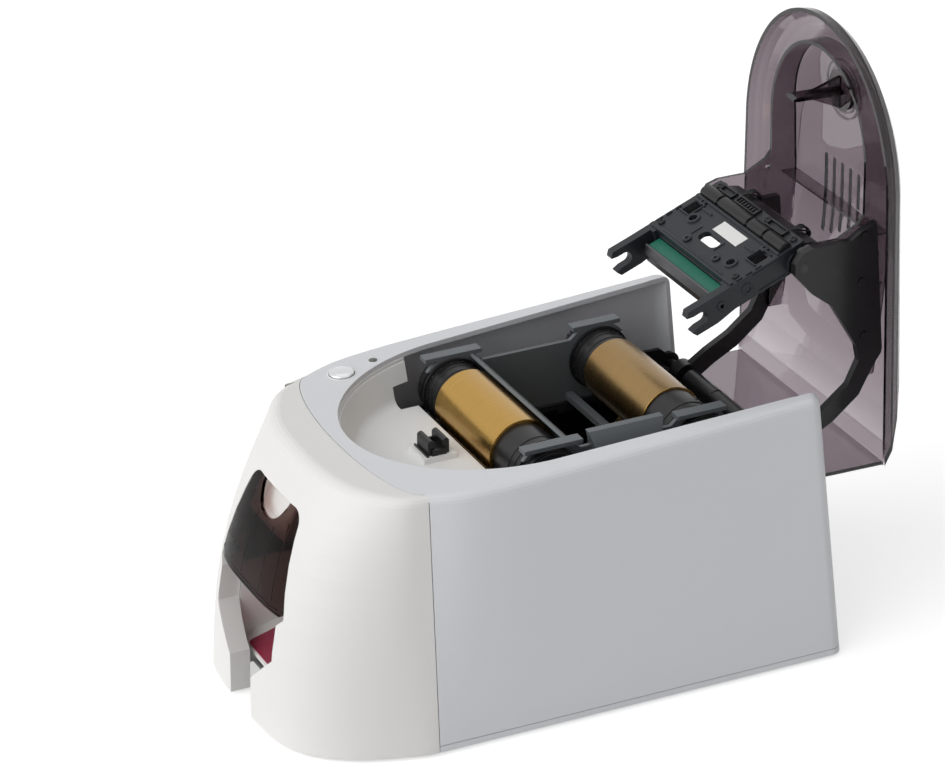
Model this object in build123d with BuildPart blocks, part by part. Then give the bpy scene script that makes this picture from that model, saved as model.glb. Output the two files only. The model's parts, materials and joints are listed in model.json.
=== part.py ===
"""ID card printer with its hinged smoked lid standing open.

Millimetres, +Z up, front towards -Y, the symmetry plane at X = 0, the floor at Z = 0.
Every place along the printer is measured from the joint between nose and side walls.
"""

from build123d import *
import os
from math import cos, degrees, radians, sin, sqrt, tan

os.makedirs("parts", exist_ok=True)

# ---------------------------------------------------------------- body, outside
SEAM_Y = -112.74  # row Y of the joint between the nose and the side walls
FOOT_H = 2.0  # the feet carry the casing this far above the floor
WALL = 2.6  # casing wall
RIM_T = 3.0  # thickness of the top rim
FIT = 0.4  # gap between two casing pieces that meet
SIDE_LEN = 254.0  # side walls, at the floor
REAR_LEAN = 17.0  # the rear face leans forward by this much
SIDE_LEN_TOP = SIDE_LEN - REAR_LEAN
NOSE_LEN = 77.5  # nose in front of the joint, at the floor
SEAM_W = 94.6  # half widths: joint and rear, at the floor and at the rim
REAR_W = 100.1
SEAM_W_TOP = 82.0
REAR_W_TOP = 93.0
FLARE = [(15.0, 5.3), (30.0, 7.6), (50.0, 8.3), (80.0, 7.5)]  # at the rim the side walls bulge: place, how far
FLARE_END = (110.0, 6.2)
RIM_Z = 154.0  # rim height at the joint
RIM_TILT = 2.8  # degrees, rising to the rear
EDGE_R = 4.5  # rounding between the rim and the walls
CORNER_R = 8.0  # rounding of the rear corners
BAND_H = 3.6  # visible edge of the base pan under the side walls
NOSE_DROP = 37.5  # how much shorter the nose is at the rim
NOSE_CURVE = 2.9  # power of that profile
SEAM_TOE = 14.0  # degrees: at the rim the nose still widens at the joint
NOSE_HEIGHTS = [FOOT_H, 30.0, 55.0, 75.0, 92.0, 107.0, 120.0, 131.0, 141.0]

# ---------------------------------------------------------------- opening and bowl
OPEN_W = 79.0  # half width where the side edges begin
OPEN_MID = 84.0  # the front of the opening is half an ellipse about this place
OPEN_LEN = 93.0
OPEN_W_REAR = 84.0
LIP_LEN = 17.0  # the rim reaches this far over the nose
BOWL_Z = 132.0  # floor of the bowl
BOWL_REAR = 60.0
BOWL_T = 2.4
BOWL_IN = 9.0  # the wall of the bowl runs inwards by this much
PAD = 20.0  # raised square pad that carries the catch
PAD_H = 3.0
CATCH_Y = 42.0

# ---------------------------------------------------------------- lid
LID_OPEN = 91.5  # degrees from shut to the rest position
HINGE_Y = 233.0
HINGE_Z = 114.0
HINGE_R = 3.0
LID_GAP = 0.6  # between the rim and the shut lid
LID_T = 2.4
LID_OVER = -1.0  # from the edge of the opening out to the edge of the lid, at the sides
LID_OVER_FRONT = -3.5
LID_REAR = 239.5
LID_REAR_LOW = 121.0  # lower edge of the lid's rear wall when shut
DOME_H = 20.5  # height of the lid over its edge
DOME_FRONT = 46.0  # how far its outline runs in on the way up: front, side, rear
DOME_SIDE = 29.0
DOME_REAR = 120.0
DOME_STEPS = 8
FRAME_W = 51.0  # half width of the inner frame of the lid
FRAME_T = 2.2
FRAME_TIP = 13.0
FRAME_ARCH = 58.0  # depth of the round front of the frame
FRAME_LOW = 1.8  # its free edge, over the rim
VENTS = 5
VENT_PITCH = 8.7
VENT_W = 3.6

# ---------------------------------------------------------------- print head
PLATEN_Y = 143.3
PLATEN_Z = 62.6
PLATEN_R = 6.5
SHAFT_R = 2.5
HEAD_LEAN = 23.5  # degrees, the shut head leans forward going up
HEAD_W = 36.8  # half width of the head plate between the forks
FORK_W = 9.0
FORK_T = 5.6  # thickness of the tines
FORK_SLOT = 7.8
PIVOT_A = -1.5  # the head's pivot, in front of and above the platen along the head
PIVOT_B = 63.0
PIVOT_R = 2.5
ARM_X = 52.2  # inner face of the hinge arms
ARM_T = 4.5
HUB_X = 61.0  # outer end of their hubs
HUB_R = 8.0

# ---------------------------------------------------------------- ribbon cassette
SPOOL_Z = 137.0
SUPPLY_Y = 82.5
SPOOL_PITCH = 94.0
CORE_R = 17.5
BORE_R = 13.5
ROLL_R = 19.6
ROLL_LEN = 69.0
ROLL_X = -6.5
SPOOL_END = 66.0  # half length of the spools
PLATE_X = 60.0  # middle of the cassette's side plates
PLATE_T = 2.6
CLIP_R = 20.6
RUN = 0.35  # running gap round the spools

# ---------------------------------------------------------------- chassis and drive
CHASSIS_X = 74.0  # inner face of the chassis plates
CHASSIS_T = 2.5
CHASSIS_LOW = 7.0
BEARING_GAP = 0.06
MID_Y = 99.3
EXIT_Y = 55.3
GEAR_T = 5.0
MODULE = 1.0
ROLLER_TEETH = 24
IDLER_TEETH = 20
PINION_TEETH = 12

# ---------------------------------------------------------------- front window and hopper
WINDOW_TOP = 132.0
WINDOW_LOW = 75.5
WINDOW_W_TOP = 30.0
WINDOW_W_LOW = 42.0
WINDOW_T = 2.0
WINDOW_R = 9.0  # rounded top corners
WINDOW_AXIS_Y = -63.0
WINDOW_AXIS_Z = 79.0
CHUTE_W = 37.0
CHUTE_Z = 49.0
SLOT_W = 14.0
SLOT_Z = 27.0
BEZEL_D = 12.0  # depth of the thick walls round the output
CARD_L = 85.6
CARD_W = 54.0
CARD_T = 0.8


def at(y):
    """Row Y of a place that lies y behind the joint."""
    return SEAM_Y + y


def rim(y):
    """Height of the rim plane over a place."""
    return RIM_Z + tan(radians(RIM_TILT)) * y


def opening_edge(y):
    """Half width of the rounded front of the opening at a place."""
    return OPEN_W * sqrt(1 - ((OPEN_MID - y) / OPEN_LEN) ** 2)


RIM = Plane(origin=(0, SEAM_Y, RIM_Z), x_dir=(1, 0, 0), z_dir=(0, -sin(radians(RIM_TILT)), cos(radians(RIM_TILT))))
HINGE = Axis((0, at(HINGE_Y), HINGE_Z), (1, 0, 0))
REAR_WALL_TOP = HINGE_Z - 14.0


def side(x):
    """A plane whose sketches are drawn in (Y, Z) and extruded towards +X."""
    return Plane(origin=(x, SEAM_Y, 0), x_dir=(0, 1, 0), z_dir=(1, 0, 0))


def front(y):
    """A plane whose sketches are drawn in (X, Z) and extruded towards the front."""
    return Plane(origin=(0, at(y), 0), x_dir=(1, 0, 0), z_dir=(0, -1, 0))


def save(part, name):
    part.label = name
    export_step(part, f"parts/{name}.step")


def opened(part):
    """A lid piece, drawn shut, turned to where it stands at rest."""
    return part.rotate(HINGE, -LID_OPEN)


def open_point(y, z):
    """Where a point of the shut lid, given by place and height, lies at rest."""
    turn = radians(-LID_OPEN)
    dy = y - HINGE_Y
    dz = z - HINGE_Z
    return HINGE_Y + dy * cos(turn) - dz * sin(turn), HINGE_Z + dy * sin(turn) + dz * cos(turn)


# ================================================================ casing solids
def level(h):
    """A plane at a height over the joint, level at the floor and tilted like the rim at the top."""
    turn = radians(RIM_TILT * (h - FOOT_H) / (RIM_Z - FOOT_H))
    return Plane(origin=(0, SEAM_Y, h), x_dir=(1, 0, 0), z_dir=(0, -sin(turn), cos(turn)))


def rounded_levels(heights):
    """Heights and insets of the outside, with the rounding up to the rim at the end."""
    steps = [(h, 0.0) for h in heights] + [(RIM_Z - EDGE_R, 0.0)]
    for turn in (22.5, 45.0, 67.5, 90.0):
        rise = EDGE_R * (1 - sin(radians(turn)))
        steps.append((RIM_Z - rise, EDGE_R * (1 - cos(radians(turn)))))
    return steps


def inner_levels(heights):
    """Heights and insets of the hollow inside the wall, up to the underside of the rim."""
    return [(h, WALL) for h in heights] + [(RIM_Z - RIM_T, WALL)]


def side_block(steps):
    """The block between the side walls, lofted through its levels."""
    with BuildPart(mode=Mode.PRIVATE) as block:
        for h, inset in steps:
            share = (h - FOOT_H) / (RIM_Z - FOOT_H)
            near = SEAM_W + (SEAM_W_TOP - SEAM_W) * share - inset
            far = REAR_W + (REAR_W_TOP - REAR_W) * share - inset
            end = SIDE_LEN + (SIDE_LEN_TOP - SIDE_LEN) * share - inset
            curve = [(near, 0.0)]
            for y, out in FLARE + [FLARE_END]:
                curve.append((near + (far - near) * y / end + out * share, y))
            slope = far - curve[-1][0], end - FLARE_END[0]
            back = [(-x, y) for x, y in reversed(curve)]
            start = curve[1][0] - near, curve[1][1]
            with BuildSketch(level(h)) as section:
                with BuildLine():
                    Spline(*curve, tangents=[start, slope])
                    Polyline(curve[-1], (far, end), (-far, end), back[0])
                    Spline(*back, tangents=[(slope[0], -slope[1]), (start[0], -start[1])])
                    Line(back[-1], curve[0])
                make_face()
                fillet(section.vertices().group_by(Axis.Y)[-1], CORNER_R - inset)
        loft(ruled=True)
    return block.part


def nose_block(steps):
    """The nose: at each level |x/w|^p + |y/l|^q = 1, from square shoulders to nearly round."""
    with BuildPart(mode=Mode.PRIVATE) as block:
        for h, inset in steps:
            share = (h - FOOT_H) / (RIM_Z - FOOT_H)
            w = SEAM_W + (SEAM_W_TOP - SEAM_W) * share - inset
            reach = NOSE_LEN - NOSE_DROP * share**NOSE_CURVE - inset
            p = 4.2 - 1.6 * share
            q = 1.3 + 0.45 * share
            toe = sin(radians(SEAM_TOE * share))
            half = [(w * s, -reach * (1 - s**p) ** (1 / q)) for s in (1.0, 0.97, 0.9, 0.78, 0.6, 0.38, 0.0)]
            points = half + [(-x, y) for x, y in reversed(half[:-1])]
            with BuildSketch(level(h)):
                with BuildLine():
                    Spline(*points, tangents=[(-toe, -1), (-toe, 1)])
                    Line(points[-1], points[0])
                make_face()
        loft(ruled=True)
    return block.part


def opening(grow, rear):
    """Outline of the opening on the rim plane, from its rounded front to a place at the rear."""
    with BuildSketch(RIM, mode=Mode.PRIVATE) as shape:
        with BuildLine():
            w = OPEN_W_REAR + grow
            EllipticalCenterArc((0, OPEN_MID), OPEN_W + grow, OPEN_LEN + grow, 180, arc_size=180)
            Polyline((OPEN_W + grow, OPEN_MID), (w, SIDE_LEN_TOP), (w, rear), (-w, rear),
                     (-w, SIDE_LEN_TOP), (-OPEN_W - grow, OPEN_MID))
        make_face()
    return shape.sketch


def lip(grow):
    """Outline of the part of the rim that reaches over the nose."""
    half = SEAM_W_TOP - EDGE_R
    with BuildSketch(RIM, mode=Mode.PRIVATE) as shape:
        with BuildLine():
            EllipticalCenterArc((0, 0), half + grow, LIP_LEN + grow, 180, arc_size=180)
            Line((half + grow, 0), (-half - grow, 0))
        make_face()
    return shape.sketch


def recess(grow, top, low):
    """Outline of the front recess, window and output together, seen from the front."""
    half = [
        (WINDOW_W_TOP + grow, top),
        (WINDOW_W_LOW + grow, WINDOW_LOW),
        (CHUTE_W + grow, WINDOW_LOW - 5),
        (CHUTE_W + grow, CHUTE_Z - grow / 2),
        (SLOT_W + grow, SLOT_Z - grow / 2),
        (SLOT_W + grow, low),
    ]
    with BuildSketch(front(-20), mode=Mode.PRIVATE) as shape:
        with BuildLine():
            Polyline(*half, *[(-x, z) for x, z in reversed(half)], close=True)
        make_face()
        fillet(shape.vertices().group_by(Axis.Y)[-1], WINDOW_R + grow)
    return shape.sketch


def disc(plane, x, y, r, depth, bore=0.0):
    """A round plate or ring on a plane, growing along its normal."""
    with BuildPart(mode=Mode.PRIVATE) as piece:
        with BuildSketch(plane):
            with Locations((x, y)):
                Circle(r)
                if bore:
                    Circle(bore, mode=Mode.SUBTRACT)
        extrude(amount=depth)
    return piece.part


def rod(x0, x1, y, z, r, bore=0.0):
    """A round bar or tube along X."""
    with BuildPart(mode=Mode.PRIVATE) as piece:
        with BuildSketch(side(x0)):
            with Locations((y, z)):
                Circle(r)
                if bore:
                    Circle(bore, mode=Mode.SUBTRACT)
        extrude(amount=x1 - x0)
    return piece.part


def block_between(low, high):
    """A box between two corners, whose places are measured from the joint."""
    size = [b - a for a, b in zip(low, high)]
    with BuildPart(mode=Mode.PRIVATE) as piece:
        with Locations(((low[0] + high[0]) / 2, at((low[1] + high[1]) / 2), (low[2] + high[2]) / 2)):
            Box(*size)
    return piece.part


def plate(x0, x1, points):
    """A plate cut to an outline in (place, height), between two X planes."""
    with BuildPart(mode=Mode.PRIVATE) as piece:
        with BuildSketch(side(x0)):
            with BuildLine():
                Polyline(*points, close=True)
            make_face()
        extrude(amount=x1 - x0)
    return piece.part


UNDER = level(RIM_Z - RIM_T)  # underside of the rim
SIDE_OUT = side_block(rounded_levels([FOOT_H]))
SIDE_IN = side_block(inner_levels([FOOT_H]))
NOSE_OUT = nose_block(rounded_levels(NOSE_HEIGHTS))
NOSE_IN = nose_block(inner_levels(NOSE_HEIGHTS))


# ---------------------------------------------------------------- main shell: side walls, rim, rear wall
SEAM_GAP = 0.5
BUTTON_Y = 19.0
BUTTON_IN = 14.5  # from the edge of the opening out to the button, and to the status light
BUTTON_X = -opening_edge(BUTTON_Y) - BUTTON_IN
BUTTON_R = 7.2
BUTTON_RUN = 0.35
GUIDE_R = 9.1  # cup under the rim that guides it
BUTTON_UP = 1.5  # stands proud of the rim
LED_Y = 41.0
LED_IN = 6.4
LED_X = -opening_edge(LED_Y) - LED_IN
LED_R = 2.4
INLET_X = -52.0
INLET_Z = 34.0
INLET_W = 28.0
INLET_H = 20.0
SOCKET_FIT = 0.3

with BuildPart() as main_shell:
    add(SIDE_OUT)
    add(SIDE_IN, mode=Mode.SUBTRACT)
    add(block_between((-REAR_W - 1, 0, 0), (REAR_W + 1, SIDE_LEN + 1, FOOT_H + BAND_H + FIT)), mode=Mode.SUBTRACT)
    add(block_between((-REAR_W, -1, 0), (REAR_W, SEAM_GAP, RIM_Z - RIM_T)), mode=Mode.SUBTRACT)
    extrude(lip(0), amount=-RIM_T + 0.05)
    extrude(opening(0, SIDE_LEN), amount=3 * RIM_T, both=True, mode=Mode.SUBTRACT)
    rear_gap = (-OPEN_W_REAR, HINGE_Y - 10, REAR_WALL_TOP)
    add(block_between(rear_gap, (OPEN_W_REAR, SIDE_LEN + 5, RIM_Z + 20)), mode=Mode.SUBTRACT)
    add(disc(RIM.offset(1), BUTTON_X, BUTTON_Y, BUTTON_R + BUTTON_RUN, -RIM_T - 2), mode=Mode.SUBTRACT)
    add(disc(RIM.offset(1), LED_X, LED_Y, LED_R + 0.05, -RIM_T - 2), mode=Mode.SUBTRACT)
    inlet_low = (INLET_X - INLET_W / 2, SIDE_LEN - 20, INLET_Z - INLET_H / 2)
    add(block_between(inlet_low, (INLET_X + INLET_W / 2, SIDE_LEN + 5, INLET_Z + INLET_H / 2)), mode=Mode.SUBTRACT)
save(main_shell.part, "main_shell")

# ---------------------------------------------------------------- nose shell with the front recess
CUP_W = 21.0  # half width of the finger recess over the window
CUP_LOW = 114.0
CUP_D = 9.0
CUP_T = 2.2
WINDOW_PIN_R = 1.5
WINDOW_PIN_X = 37.6  # the window's lugs, from here outwards
WINDOW_LUG_T = 3.0
WINDOW_PIN_END = 46.0
BEZEL_W = CHUTE_W + 12.0

bezel_core = nose_block([(h, BEZEL_D) for h in NOSE_HEIGHTS])
cup_back = nose_block([(h, CUP_D + CUP_T) for h in NOSE_HEIGHTS] + [(RIM_Z - RIM_T, CUP_D + CUP_T)])
cup_floor = nose_block([(h, CUP_D) for h in NOSE_HEIGHTS] + [(RIM_Z - RIM_T, CUP_D)])
cup_skin = nose_block([(h, WINDOW_T + 1.0) for h in NOSE_HEIGHTS] + [(RIM_Z - RIM_T, WINDOW_T + 1.0)])
cup_box = block_between((-CUP_W - CUP_T, -NOSE_LEN, CUP_LOW - CUP_T), (CUP_W + CUP_T, 0, WINDOW_TOP + FIT + CUP_T))
cup_top = block_between((-CUP_W - CUP_T, -NOSE_LEN, WINDOW_TOP + FIT), (CUP_W + CUP_T, 0, WINDOW_TOP + FIT + CUP_T))
cup_hole = block_between((-CUP_W, -NOSE_LEN, CUP_LOW), (CUP_W, 0, WINDOW_TOP + FIT))
with BuildPart() as nose_shell:
    add(NOSE_OUT)
    add(NOSE_IN, mode=Mode.SUBTRACT)
    add((NOSE_OUT & block_between((-BEZEL_W, -NOSE_LEN - 1, FOOT_H), (BEZEL_W, 0, WINDOW_LOW + 10))) - bezel_core)
    extrude(recess(FIT, WINDOW_TOP, -1), amount=NOSE_LEN, mode=Mode.SUBTRACT)
    add(((cup_skin & cup_box) + (NOSE_OUT & cup_top)) - cup_back - (cup_hole - cup_floor))
    extrude(lip(FIT), amount=-RIM_T - FIT, mode=Mode.SUBTRACT)
    for x in (-WINDOW_PIN_END - 0.3, WINDOW_PIN_X):
        end = x + WINDOW_PIN_END + 0.3 - WINDOW_PIN_X
        add(rod(x, end, WINDOW_AXIS_Y, WINDOW_AXIS_Z, WINDOW_PIN_R + 0.06), mode=Mode.SUBTRACT)
save(nose_shell.part, "nose_shell")

# ---------------------------------------------------------------- bowl under the rim
BOWL_FLANGE = 2.8
BOWL_FLANGE_T = 1.6
BOWL_FILLET = 6.0
BOWL_NOTCH_X = 56.5  # the rear corners are cut out for the cassette's feet as it lifts
BOWL_NOTCH_Y = 49.0


def bowl_section(plane, grow):
    with BuildSketch(plane, mode=Mode.PRIVATE) as shape:
        with BuildLine():
            EllipticalCenterArc((0, OPEN_MID), OPEN_W + grow, OPEN_LEN + grow, 180, arc_size=180)
            Line((OPEN_W + grow, OPEN_MID), (-OPEN_W - grow, OPEN_MID))
        make_face()
    return shape.sketch


def bowl_level(z):
    return Plane(origin=(0, SEAM_Y, z), x_dir=(1, 0, 0), z_dir=(0, 0, 1))


with BuildPart(mode=Mode.PRIVATE) as bowl_hollow:
    add(bowl_section(bowl_level(BOWL_Z), -BOWL_IN))
    add(bowl_section(UNDER, -0.6))
    loft(ruled=True)
    fillet(bowl_hollow.edges().group_by(Axis.Z)[0].filter_by(GeomType.ELLIPSE), BOWL_FILLET)
with BuildPart() as bowl_tray:
    add(bowl_section(bowl_level(BOWL_Z - BOWL_T), -BOWL_IN + BOWL_T - 1.5))
    add(bowl_section(UNDER, -0.6 + BOWL_T))
    loft(ruled=True)
    extrude(bowl_section(UNDER, BOWL_FLANGE), amount=-BOWL_FLANGE_T)
    add(bowl_hollow.part, mode=Mode.SUBTRACT)
    extrude(bowl_section(UNDER.offset(-2), -0.6), amount=10, mode=Mode.SUBTRACT)
    add(block_between((-100, BOWL_REAR, 0), (100, OPEN_MID + 1, 200)), mode=Mode.SUBTRACT)
    for x in (-OPEN_W - 3, BOWL_NOTCH_X):
        notch = (x + OPEN_W + 3 - BOWL_NOTCH_X, OPEN_MID + 1, BOWL_Z + 9)
        add(block_between((x, BOWL_NOTCH_Y, BOWL_Z - 10), notch), mode=Mode.SUBTRACT)
    add(disc(UNDER.offset(1), BUTTON_X, BUTTON_Y, GUIDE_R + FIT, -20), mode=Mode.SUBTRACT)
    add(block_between((-PAD / 2, CATCH_Y - PAD / 2, BOWL_Z - 0.5), (PAD / 2, CATCH_Y + PAD / 2, BOWL_Z + PAD_H)))
save(bowl_tray.part, "bowl_tray")

# ---------------------------------------------------------------- catch for the lid's hook, on the pad
JAW_GAP = 5.0
JAW_T = 4.0
JAW_W = 14.0
JAW_TOP = 144.0
with BuildPart() as latch_catch:
    catch_z = BOWL_Z + PAD_H
    end = JAW_GAP / 2 + JAW_T
    add(block_between((-JAW_W / 2, CATCH_Y - end, catch_z), (JAW_W / 2, CATCH_Y + end, catch_z + 2)))
    for y in (CATCH_Y - end, CATCH_Y + JAW_GAP / 2):
        add(block_between((-JAW_W / 2, y, catch_z), (JAW_W / 2, y + JAW_T, JAW_TOP)))
    chamfer(latch_catch.edges().group_by(Axis.Z)[-1].filter_by(Axis.X), 1.2)
save(latch_catch.part, "latch_catch")

# ---------------------------------------------------------------- base pan and feet
PAN_IN = 2.4
PAN_NOSE_W = 60.0
PAN_NOSE = -53.0
FOOT_R = 8.0
FEET = [(78, 22), (82, 232), (48, -42)]
BOARD_Z = 14.0
BOARD = [(-62, 168), (60, 222)]
BOARD_HOLES = [(x, y) for x in (BOARD[0][0] + 5, BOARD[1][0] - 5) for y in (BOARD[0][1] + 5, BOARD[1][1] - 5)]
with BuildPart() as base_pan:
    add(SIDE_OUT & block_between((-REAR_W - 1, SEAM_GAP, FOOT_H), (REAR_W + 1, SIDE_LEN + 1, FOOT_H + BAND_H)))
    low = (-SEAM_W + 8, SEAM_GAP + 6, FOOT_H + PAN_IN)
    add(block_between(low, (SEAM_W - 8, SIDE_LEN - 8, FOOT_H + BAND_H)), mode=Mode.SUBTRACT)
    add(block_between((-PAN_NOSE_W, PAN_NOSE, FOOT_H), (PAN_NOSE_W, SEAM_GAP, FOOT_H + PAN_IN)))
    for x, y in BOARD_HOLES:
        with Locations((x, at(y), (FOOT_H + PAN_IN + BOARD_Z) / 2)):
            Cylinder(3, BOARD_Z - FOOT_H - PAN_IN)
save(base_pan.part, "base_pan")

with BuildPart() as rubber_feet:
    with Locations(*[(x * s, at(y), FOOT_H / 2) for x, y in FEET for s in (-1, 1)]):
        Cylinder(FOOT_R, FOOT_H)
save(rubber_feet.part, "rubber_feet")

# ---------------------------------------------------------------- output hopper and a finished card
HOPPER_T = 2.0
HOPPER_TOP = 70.0
HOPPER_REAR = 21.5
HOPPER_FRONT = -62.0
CARD_TILT = 15.5
CARD_FRONT = -61.0  # front edge of the card
CARD_LOW = 23.4
CARD_SIDE = 1.0
HOPPER_IN = CHUTE_W - 1.0
card_rear_z = CARD_LOW + tan(radians(CARD_TILT)) * (HOPPER_REAR - CARD_FRONT)
with BuildPart() as output_hopper:
    slope = [(HOPPER_FRONT, CARD_LOW - 0.3), (HOPPER_REAR + HOPPER_T, card_rear_z - 0.3),
             (HOPPER_REAR + HOPPER_T, card_rear_z - 0.3 - HOPPER_T), (HOPPER_FRONT, CARD_LOW - 0.3 - HOPPER_T)]
    add(plate(-HOPPER_IN - HOPPER_T, HOPPER_IN + HOPPER_T, slope))
    cheek = [(HOPPER_FRONT, FOOT_H + PAN_IN), (HOPPER_FRONT, 60), (HOPPER_FRONT + 8, HOPPER_TOP),
             (HOPPER_REAR + HOPPER_T, HOPPER_TOP), (HOPPER_REAR + HOPPER_T, FOOT_H + BAND_H),
             (SEAM_GAP - FIT, FOOT_H + BAND_H), (SEAM_GAP - FIT, FOOT_H + PAN_IN)]
    add(plate(HOPPER_IN, HOPPER_IN + HOPPER_T, cheek))
    add(plate(-HOPPER_IN - HOPPER_T, -HOPPER_IN, cheek))
    low = (-HOPPER_IN - HOPPER_T, HOPPER_REAR, FOOT_H + BAND_H)
    add(block_between(low, (HOPPER_IN + HOPPER_T, HOPPER_REAR + HOPPER_T, 64)))
    add(NOSE_OUT - nose_block([(h, BEZEL_D + FIT) for h in NOSE_HEIGHTS]), mode=Mode.SUBTRACT)
save(output_hopper.part, "output_hopper")

card_along = (cos(radians(CARD_TILT)), sin(radians(CARD_TILT)))
CARD_TURN = 3.2  # rounded corners
card_plane = Plane(
    origin=(0, at(CARD_FRONT), CARD_LOW),
    x_dir=(1, 0, 0),
    z_dir=(0, -card_along[1], card_along[0]),
)
with BuildPart() as printed_card:
    with BuildSketch(card_plane):
        with Locations((0, CARD_L / 2)):
            RectangleRounded(CARD_W, CARD_L, CARD_TURN)
    extrude(amount=CARD_T)
save(printed_card.part, "printed_card")

# ---------------------------------------------------------------- smoked window over the front recess
NOTCH_R = 17.0
NOTCH_LOW = 117.0
LUG_R = 3.2
window_skin = nose_block([(h, 0.15) for h in NOSE_HEIGHTS]) - nose_block([(h, 0.15 + WINDOW_T) for h in NOSE_HEIGHTS])
with BuildPart() as card_window:
    with BuildSketch(front(-20)) as window_face:
        with BuildLine():
            half = [(WINDOW_W_TOP, WINDOW_TOP - 0.2), (WINDOW_W_LOW - 0.6, WINDOW_LOW + FIT + 3.2),
                    (WINDOW_W_LOW - 3.6, WINDOW_LOW + FIT)]
            Polyline(*half, *[(-x, z) for x, z in reversed(half)], close=True)
        make_face()
        fillet(window_face.vertices().group_by(Axis.Y)[-1], WINDOW_R)
        with Locations((0, NOTCH_LOW + NOTCH_R)):
            Circle(NOTCH_R, mode=Mode.SUBTRACT)
        with Locations((0, NOTCH_LOW + 2 * NOTCH_R)):
            Rectangle(2 * NOTCH_R, 2 * NOTCH_R, mode=Mode.SUBTRACT)
    extrude(amount=NOSE_LEN)
    add(window_skin, mode=Mode.INTERSECT)
    for x in (-WINDOW_PIN_X - WINDOW_LUG_T, WINDOW_PIN_X):
        add(rod(x, x + WINDOW_LUG_T, WINDOW_AXIS_Y, WINDOW_AXIS_Z, LUG_R))
        low = (x, WINDOW_AXIS_Y - 5.0, WINDOW_AXIS_Z - 1.4)
        add(block_between(low, (x + WINDOW_LUG_T, WINDOW_AXIS_Y, WINDOW_AXIS_Z + LUG_R)))
    for x in (-WINDOW_PIN_END, WINDOW_PIN_X):
        add(rod(x, x + WINDOW_PIN_END - WINDOW_PIN_X, WINDOW_AXIS_Y, WINDOW_AXIS_Z, WINDOW_PIN_R))
save(card_window.part, "card_window")

# ---------------------------------------------------------------- control button, its guide and spring, status light
BUTTON_TRAVEL = 1.2
BUTTON_FLANGE = 8.0
BUTTON_FLANGE_T = 1.4
BUTTON_STEM = 3.0
GUIDE_BORE = BUTTON_FLANGE + 0.3
GUIDE_D = 11.0
GUIDE_T = 1.6
SPRING_WIRE = 0.6
SPRING_R = 4.4
under_rim = UNDER
flange_top = under_rim.offset(-0.1)
with BuildPart() as control_button:
    add(disc(flange_top, BUTTON_X, BUTTON_Y, BUTTON_R, RIM_T + 0.1 + BUTTON_UP))
    fillet(control_button.edges().group_by(Axis.Z)[-1], 1.0)
    add(disc(flange_top, BUTTON_X, BUTTON_Y, BUTTON_FLANGE, -BUTTON_FLANGE_T))
    add(disc(flange_top.offset(-BUTTON_FLANGE_T), BUTTON_X, BUTTON_Y, BUTTON_STEM, -3))
save(control_button.part, "control_button")

with BuildPart() as button_guide:
    add(disc(under_rim, BUTTON_X, BUTTON_Y, GUIDE_R, -GUIDE_D, GUIDE_BORE))
    add(disc(under_rim.offset(-GUIDE_D), BUTTON_X, BUTTON_Y, GUIDE_R, -GUIDE_T))
save(button_guide.part, "button_guide")

SPRING_H = GUIDE_D - 0.1 - BUTTON_FLANGE_T
spring_seat = under_rim.offset(-GUIDE_D)
with BuildPart() as button_spring:
    with BuildLine() as coil_line:
        coil = Helix(pitch=(SPRING_H - SPRING_WIRE) / 4, height=SPRING_H - SPRING_WIRE, radius=SPRING_R)
    with BuildSketch(Plane(origin=coil @ 0, z_dir=coil % 0)):
        Circle(SPRING_WIRE / 2)
    sweep(path=coil_line.line)
seat_place = spring_seat.from_local_coords(Vector(BUTTON_X, BUTTON_Y, SPRING_WIRE / 2))
button_spring_part = Location(seat_place, (degrees(radians(RIM_TILT)), 0, 0)) * button_spring.part
save(button_spring_part, "button_spring")

with BuildPart() as status_led:
    add(disc(RIM.offset(-7), LED_X, LED_Y, LED_R, 7.4))
    add(disc(UNDER, LED_X, LED_Y, LED_R + 0.6, -1.0))
save(status_led.part, "status_led")


# ================================================================ chassis and card drive
def bar(plane, points, depth):
    """A piece cut to an outline on any plane."""
    with BuildPart(mode=Mode.PRIVATE) as piece:
        with BuildSketch(plane):
            with BuildLine():
                Polyline(*points, close=True)
            make_face()
        extrude(amount=depth)
    return piece.part


def gear(x, y, z, teeth, bore, phase=0.0):
    """A spur gear across X, with slim teeth so that a pair meshes with play."""
    pitch_r = MODULE * teeth / 2
    root_r = pitch_r - MODULE * 1.05
    tip_r = pitch_r + MODULE * 0.8
    pitch = 360.0 / teeth
    points = []
    for k in range(teeth):
        middle = phase + k * pitch
        for r, share in ((root_r, -0.27), (tip_r, -0.11), (tip_r, 0.11), (root_r, 0.27)):
            angle = radians(middle + share * pitch)
            points.append((y + r * cos(angle), z + r * sin(angle)))
    with BuildPart(mode=Mode.PRIVATE) as piece:
        with BuildSketch(side(x)):
            with BuildLine():
                Polyline(*points, close=True)
            make_face()
            with Locations((y, z)):
                Circle(bore, mode=Mode.SUBTRACT)
        extrude(amount=GEAR_T)
    return piece.part


ROLLERS = [PLATEN_Y, MID_Y, EXIT_Y]
CHASSIS_OUT = CHASSIS_X + CHASSIS_T
GEAR_X = -CHASSIS_OUT - 1.5 - GEAR_T
SHAFT_END = CHASSIS_OUT + 1.5
PIN_R = 3.0
PIN_IN = ARM_X - 1.2  # inner end of the hinge pins
ROLLER_Z = PLATEN_Z
IDLER_PITCH = MODULE * (ROLLER_TEETH + IDLER_TEETH) / 2
PINION_PITCH = MODULE * (ROLLER_TEETH + PINION_TEETH) / 2
IDLERS = [PLATEN_Y - IDLER_PITCH, MID_Y - IDLER_PITCH]
POST_R = 2.5
MOTOR_SHAFT_R = 1.5
chassis_outline = [(30, CHASSIS_LOW), (236, CHASSIS_LOW), (236, 88), (238.5, 103), (238.5, HINGE_Z), (226, 124),
                   (150, 124), (62, 121), (44, 104), (30, 60)]


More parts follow.
